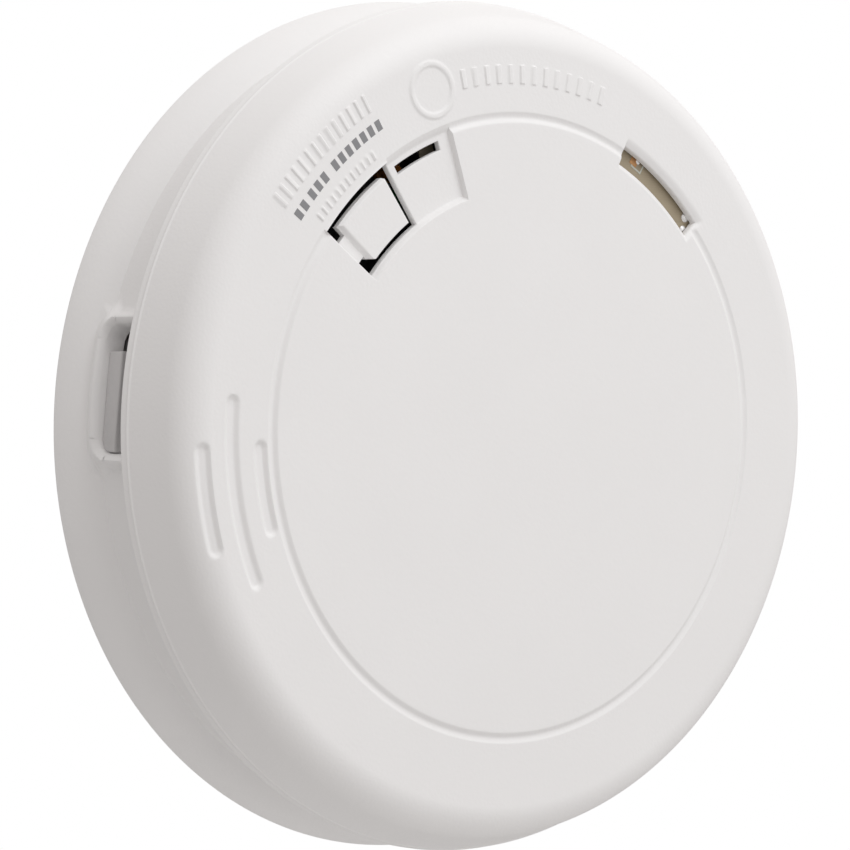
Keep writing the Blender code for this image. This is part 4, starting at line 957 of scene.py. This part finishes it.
def cut_screw_slots(plate_obj):
    """Two slots for the wall screws, the left one level and the right one upright, 70 mm apart."""
    wide, long = 1.9 * MM, 6.0 * MM
    for centre_x, half_x, half_y in ((-35 * MM, long, wide), (35 * MM, wide, long)):
        outline = rounded_box(centre_x - half_x, centre_x + half_x, -half_y, half_y, wide - 0.01 * MM)
        mesh = prism(outline, -2 * MM, 4 * MM)
        mesh.transform(STAND_UP)
        cutter = put("cutter", mesh)
        cut = plate_obj.modifiers.new("cut", "BOOLEAN")
        cut.object = cutter
        cut.operation = "DIFFERENCE"
        bpy.context.view_layer.update()
        graph = bpy.context.evaluated_depsgraph_get()
        result = bpy.data.meshes.new_from_object(plate_obj.evaluated_get(graph))
        plate_obj.modifiers.clear()
        plate_obj.data = result
        bpy.data.objects.remove(cutter)


def make_bracket_ribs(inner_radius, ring_low):
    """Short ribs behind the raised ring, between the bayonet slots."""
    angles = [hook + turn for hook in HOOK_ANGLES for turn in (-36.0, -18.0, 36.0, 54.0)]
    start, end, half = inner_radius + 1.0 * MM, BRACKET_R - 1.2 * MM, 0.6 * MM
    ribs = []
    for angle in angles:
        rib = block(start, end, -half, half, 0.15 * MM, ring_low + 0.2 * MM, 0.12 * MM)
        ribs.append(at_angle(rib, angle))
    piece("bracket_ribs", join(ribs), "mounting_bracket")


# ---- power slider ----


def make_slider():
    """The plate in the window, its retainer inside the collar, and the fork that holds the lever."""
    knob_foot = WINDOW_HALF - 0.15 * MM
    knob_end = knob_foot - 15.4 * MM
    back, front = WINDOW_BACK + 0.15 * MM, FACE - 16.85 * MM
    corner = 2.2 * MM
    outline = [(knob_end, back)] + arc(corner, -90, 0, 6, (knob_foot - corner, back + corner))
    outline += [(knob_foot, front), (knob_end, front)]
    parts = [radial_prism(outline, 62.1 * MM, 66.9 * MM, 0.35 * MM)]
    inside = [(61.8 * MM, 63.1 * MM, -8 * MM, 12 * MM, FLOOR_TOP + 3 * MM, 18.6 * MM)]
    for side in (-1, 1):
        middle = 2.0 * MM + side * 2.4 * MM
        inside.append((56.9 * MM, 62.3 * MM, middle - 0.8 * MM, middle + 0.8 * MM, 16.6 * MM, 18.4 * MM))
    parts += [at_angle(block(*sides, 0.2 * MM), WINDOW_ANGLE) for sides in inside]
    piece("slider_plate", join(parts), "power_slider")


# ---- what shows through the slots ----


def make_painted_shade_pieces():
    """Painted shade behind the sunk panel's slots: a black sheet on the main board, and a black block by the
    spacer.
    """
    # A black sheet on the main board: painted shade for the dark inside behind the LED slot and the button's
    # gaps.
    outline = sector_outline(26 * MM, 50 * MM, 94, 138, 20)
    shade_sheet = prism(outline, BOARD_TOP + 0.02 * MM, BOARD_TOP + 0.06 * MM)
    piece("painted_shade_sheet", shade_sheet, "circuit_board", "black_moulding", hides=False)
    # A thin black block beside the spacer: painted shade on the side of the spacer that shows through the LED
    # slot.
    top = front_of("led_spacer") - 0.1 * MM
    shade_block = block(44.9 * MM, 48.9 * MM, 1.55 * MM, 1.85 * MM, BOARD_TOP + 0.1 * MM, top, 0.05 * MM)
    piece("painted_shade_block", at_angle(shade_block, 110.3), "led_spacer", "black_moulding", hides=False)


def make_board_details():
    """What is printed, plated and soldered on the sounder board."""
    top = front_of("sounder_board")
    print_low, print_high = top + 0.02 * MM, top + 0.05 * MM
    inner, outer, start, end, line = 50.1 * MM, 52.3 * MM, 57.0, 59.9, 0.28 * MM
    turn = math.degrees(line / inner)
    strips = [
        prism(sector_outline(*sector, 4), print_low, print_high)
        for sector in (
            (inner, inner + line, start, end),
            (outer - line, outer, start, end),
            (inner + line, outer - line, start, start + turn),
            (inner + line, outer - line, end - turn, end),
        )
    ]
    piece("board_print", join(strips), "sounder_board", "label_film", "screen_print", hides=False)
    copper = prism(sector_outline(50.5 * MM, 51.8 * MM, 58.7, 60.5, 4), print_low, print_high + 0.02 * MM)
    piece("copper_patch", copper, "sounder_board", "contact_bronze", "bare_copper", hides=False)
    joints = ((51.7 * MM, 58.7, 0.55 * MM), (51.6 * MM, 42.9, 0.85 * MM), (49.8 * MM, 41.6, 0.7 * MM))
    domes = []
    for radius, angle, size in joints:
        bm = bmesh.new()
        place = Matrix.Translation((*polar(radius, angle), top))
        place = place @ Matrix.Diagonal((size, size, 0.4 * size, 1))
        bmesh.ops.create_icosphere(bm, subdivisions=3, radius=1.0, matrix=place)
        for vert in bm.verts:
            vert.co.z = max(vert.co.z, top + 0.01 * MM)
        mesh = bpy.data.meshes.new("dome")
        bm.to_mesh(mesh)
        bm.free()
        domes.append(mesh)
    piece("solder_joints", join(domes), "sounder_board", "nickel_strip", "solder", hides=False)


# ---- studio ----

# How bright the studio's even light is, and how it grows towards the right, the front and the top.
SKY_STRENGTH = 0.59
SKY_LEAN = (0.1, -0.08, 0.29)
SKY_TINT = (1.0, 0.968, 0.95, 1.0)
FLOOR_RADIUS = 0.45
FLOOR_HEIGHT = -0.6


def make_camera():
    camera = put("camera", bpy.data.cameras.new("camera"))
    camera.data.lens = 119.4
    camera.data.sensor_width = 36.0
    face_centre = Vector((0.0, -FACE, 0.0))
    camera.location = face_centre + Vector((-298.1, -343.8, 13.1)) * MM
    forward = Vector((0.62768, 0.77798, -0.02762))
    camera.rotation_euler = forward.to_track_quat("-Z", "Y").to_euler()
    camera.data.clip_start = 0.01
    camera.data.clip_end = 20.0
    bpy.context.scene.camera = camera


def make_light(name, azimuth, elevation, distance, size, power, colour=(1.0, 1.0, 1.0)):
    """A square soft light that looks at the alarm. Azimuth 0 is in front of the face, 90 on its right."""
    data = bpy.data.lights.new(name, "AREA")
    data.shape = "SQUARE"
    data.size = size
    data.energy = power
    data.color = colour
    light = put(name, data)
    a, e = math.radians(azimuth), math.radians(elevation)
    away = Vector((math.sin(a) * math.cos(e), -math.cos(a) * math.cos(e), math.sin(e)))
    light.location = away * distance
    light.rotation_euler = (-away).to_track_quat("-Z", "Y").to_euler()


def make_world():
    """White behind the object, and round it an even light that is stronger from above and from the right."""
    world = bpy.data.worlds.new("studio")
    bpy.context.scene.world = world
    world.use_nodes = True
    tree = world.node_tree
    tree.nodes.clear()
    kinds = ("TexCoord", "VectorMath", "Math", "Background", "Background", "LightPath", "MixShader")
    place, lean, strength, even, behind, seen, mixed = (tree.nodes.new("ShaderNode" + k) for k in kinds)
    output = tree.nodes.new("ShaderNodeOutputWorld")
    lean.operation = "DOT_PRODUCT"
    lean.inputs[1].default_value = SKY_LEAN
    strength.operation = "ADD"
    strength.inputs[1].default_value = SKY_STRENGTH
    even.inputs["Color"].default_value = SKY_TINT
    behind.inputs["Color"].default_value = (1.0, 1.0, 1.0, 1.0)
    for source, target in (
        (place.outputs["Generated"], lean.inputs[0]),
        (lean.outputs["Value"], strength.inputs[0]),
        (strength.outputs[0], even.inputs["Strength"]),
        (seen.outputs["Is Camera Ray"], mixed.inputs[0]),
        (even.outputs[0], mixed.inputs[1]),
        (behind.outputs[0], mixed.inputs[2]),
        (mixed.outputs[0], output.inputs[0]),
    ):
        tree.links.new(source, target)


def make_floor():
    mesh = prism(arc(FLOOR_RADIUS, 0, 357.5, 143), FLOOR_HEIGHT - 0.01, FLOOR_HEIGHT)
    floor = put("floor", mesh)
    pale = Surface("floor_paint")
    patches = pale.remap(pale.noise(0.15), 0.3, 0.7, 0.0, 1.0)
    pale.colour(pale.mix(patches, (0.88, 0.88, 0.87, 1.0), (0.9, 0.9, 0.9, 1.0)))
    pale.shader.inputs["Roughness"].default_value = 0.7
    pale.bump(pale.noise(0.002), 0.0001)
    mesh.materials.append(pale.made)


def make_studio():
    bpy.context.scene.view_settings.view_transform = "Standard"
    make_world()
    make_floor()
    make_light("top_light", 12, 52, 0.6, 0.4, 0.9, (0.93, 0.97, 1.0))
    make_light("right_light", 32, 14, 1.1, 0.7, 1.0, (0.95, 0.98, 1.0))
    make_light("rear_light", 165, 35, 1.2, 0.8, 0.5)


make_camera()
paint_frame()
make_cover()
make_snap_legs()
make_printed_dashes()
make_button()
make_housing()
make_housing_details()
make_bracket()
make_slider()
make_painted_shade_pieces()
make_board_details()
make_studio()
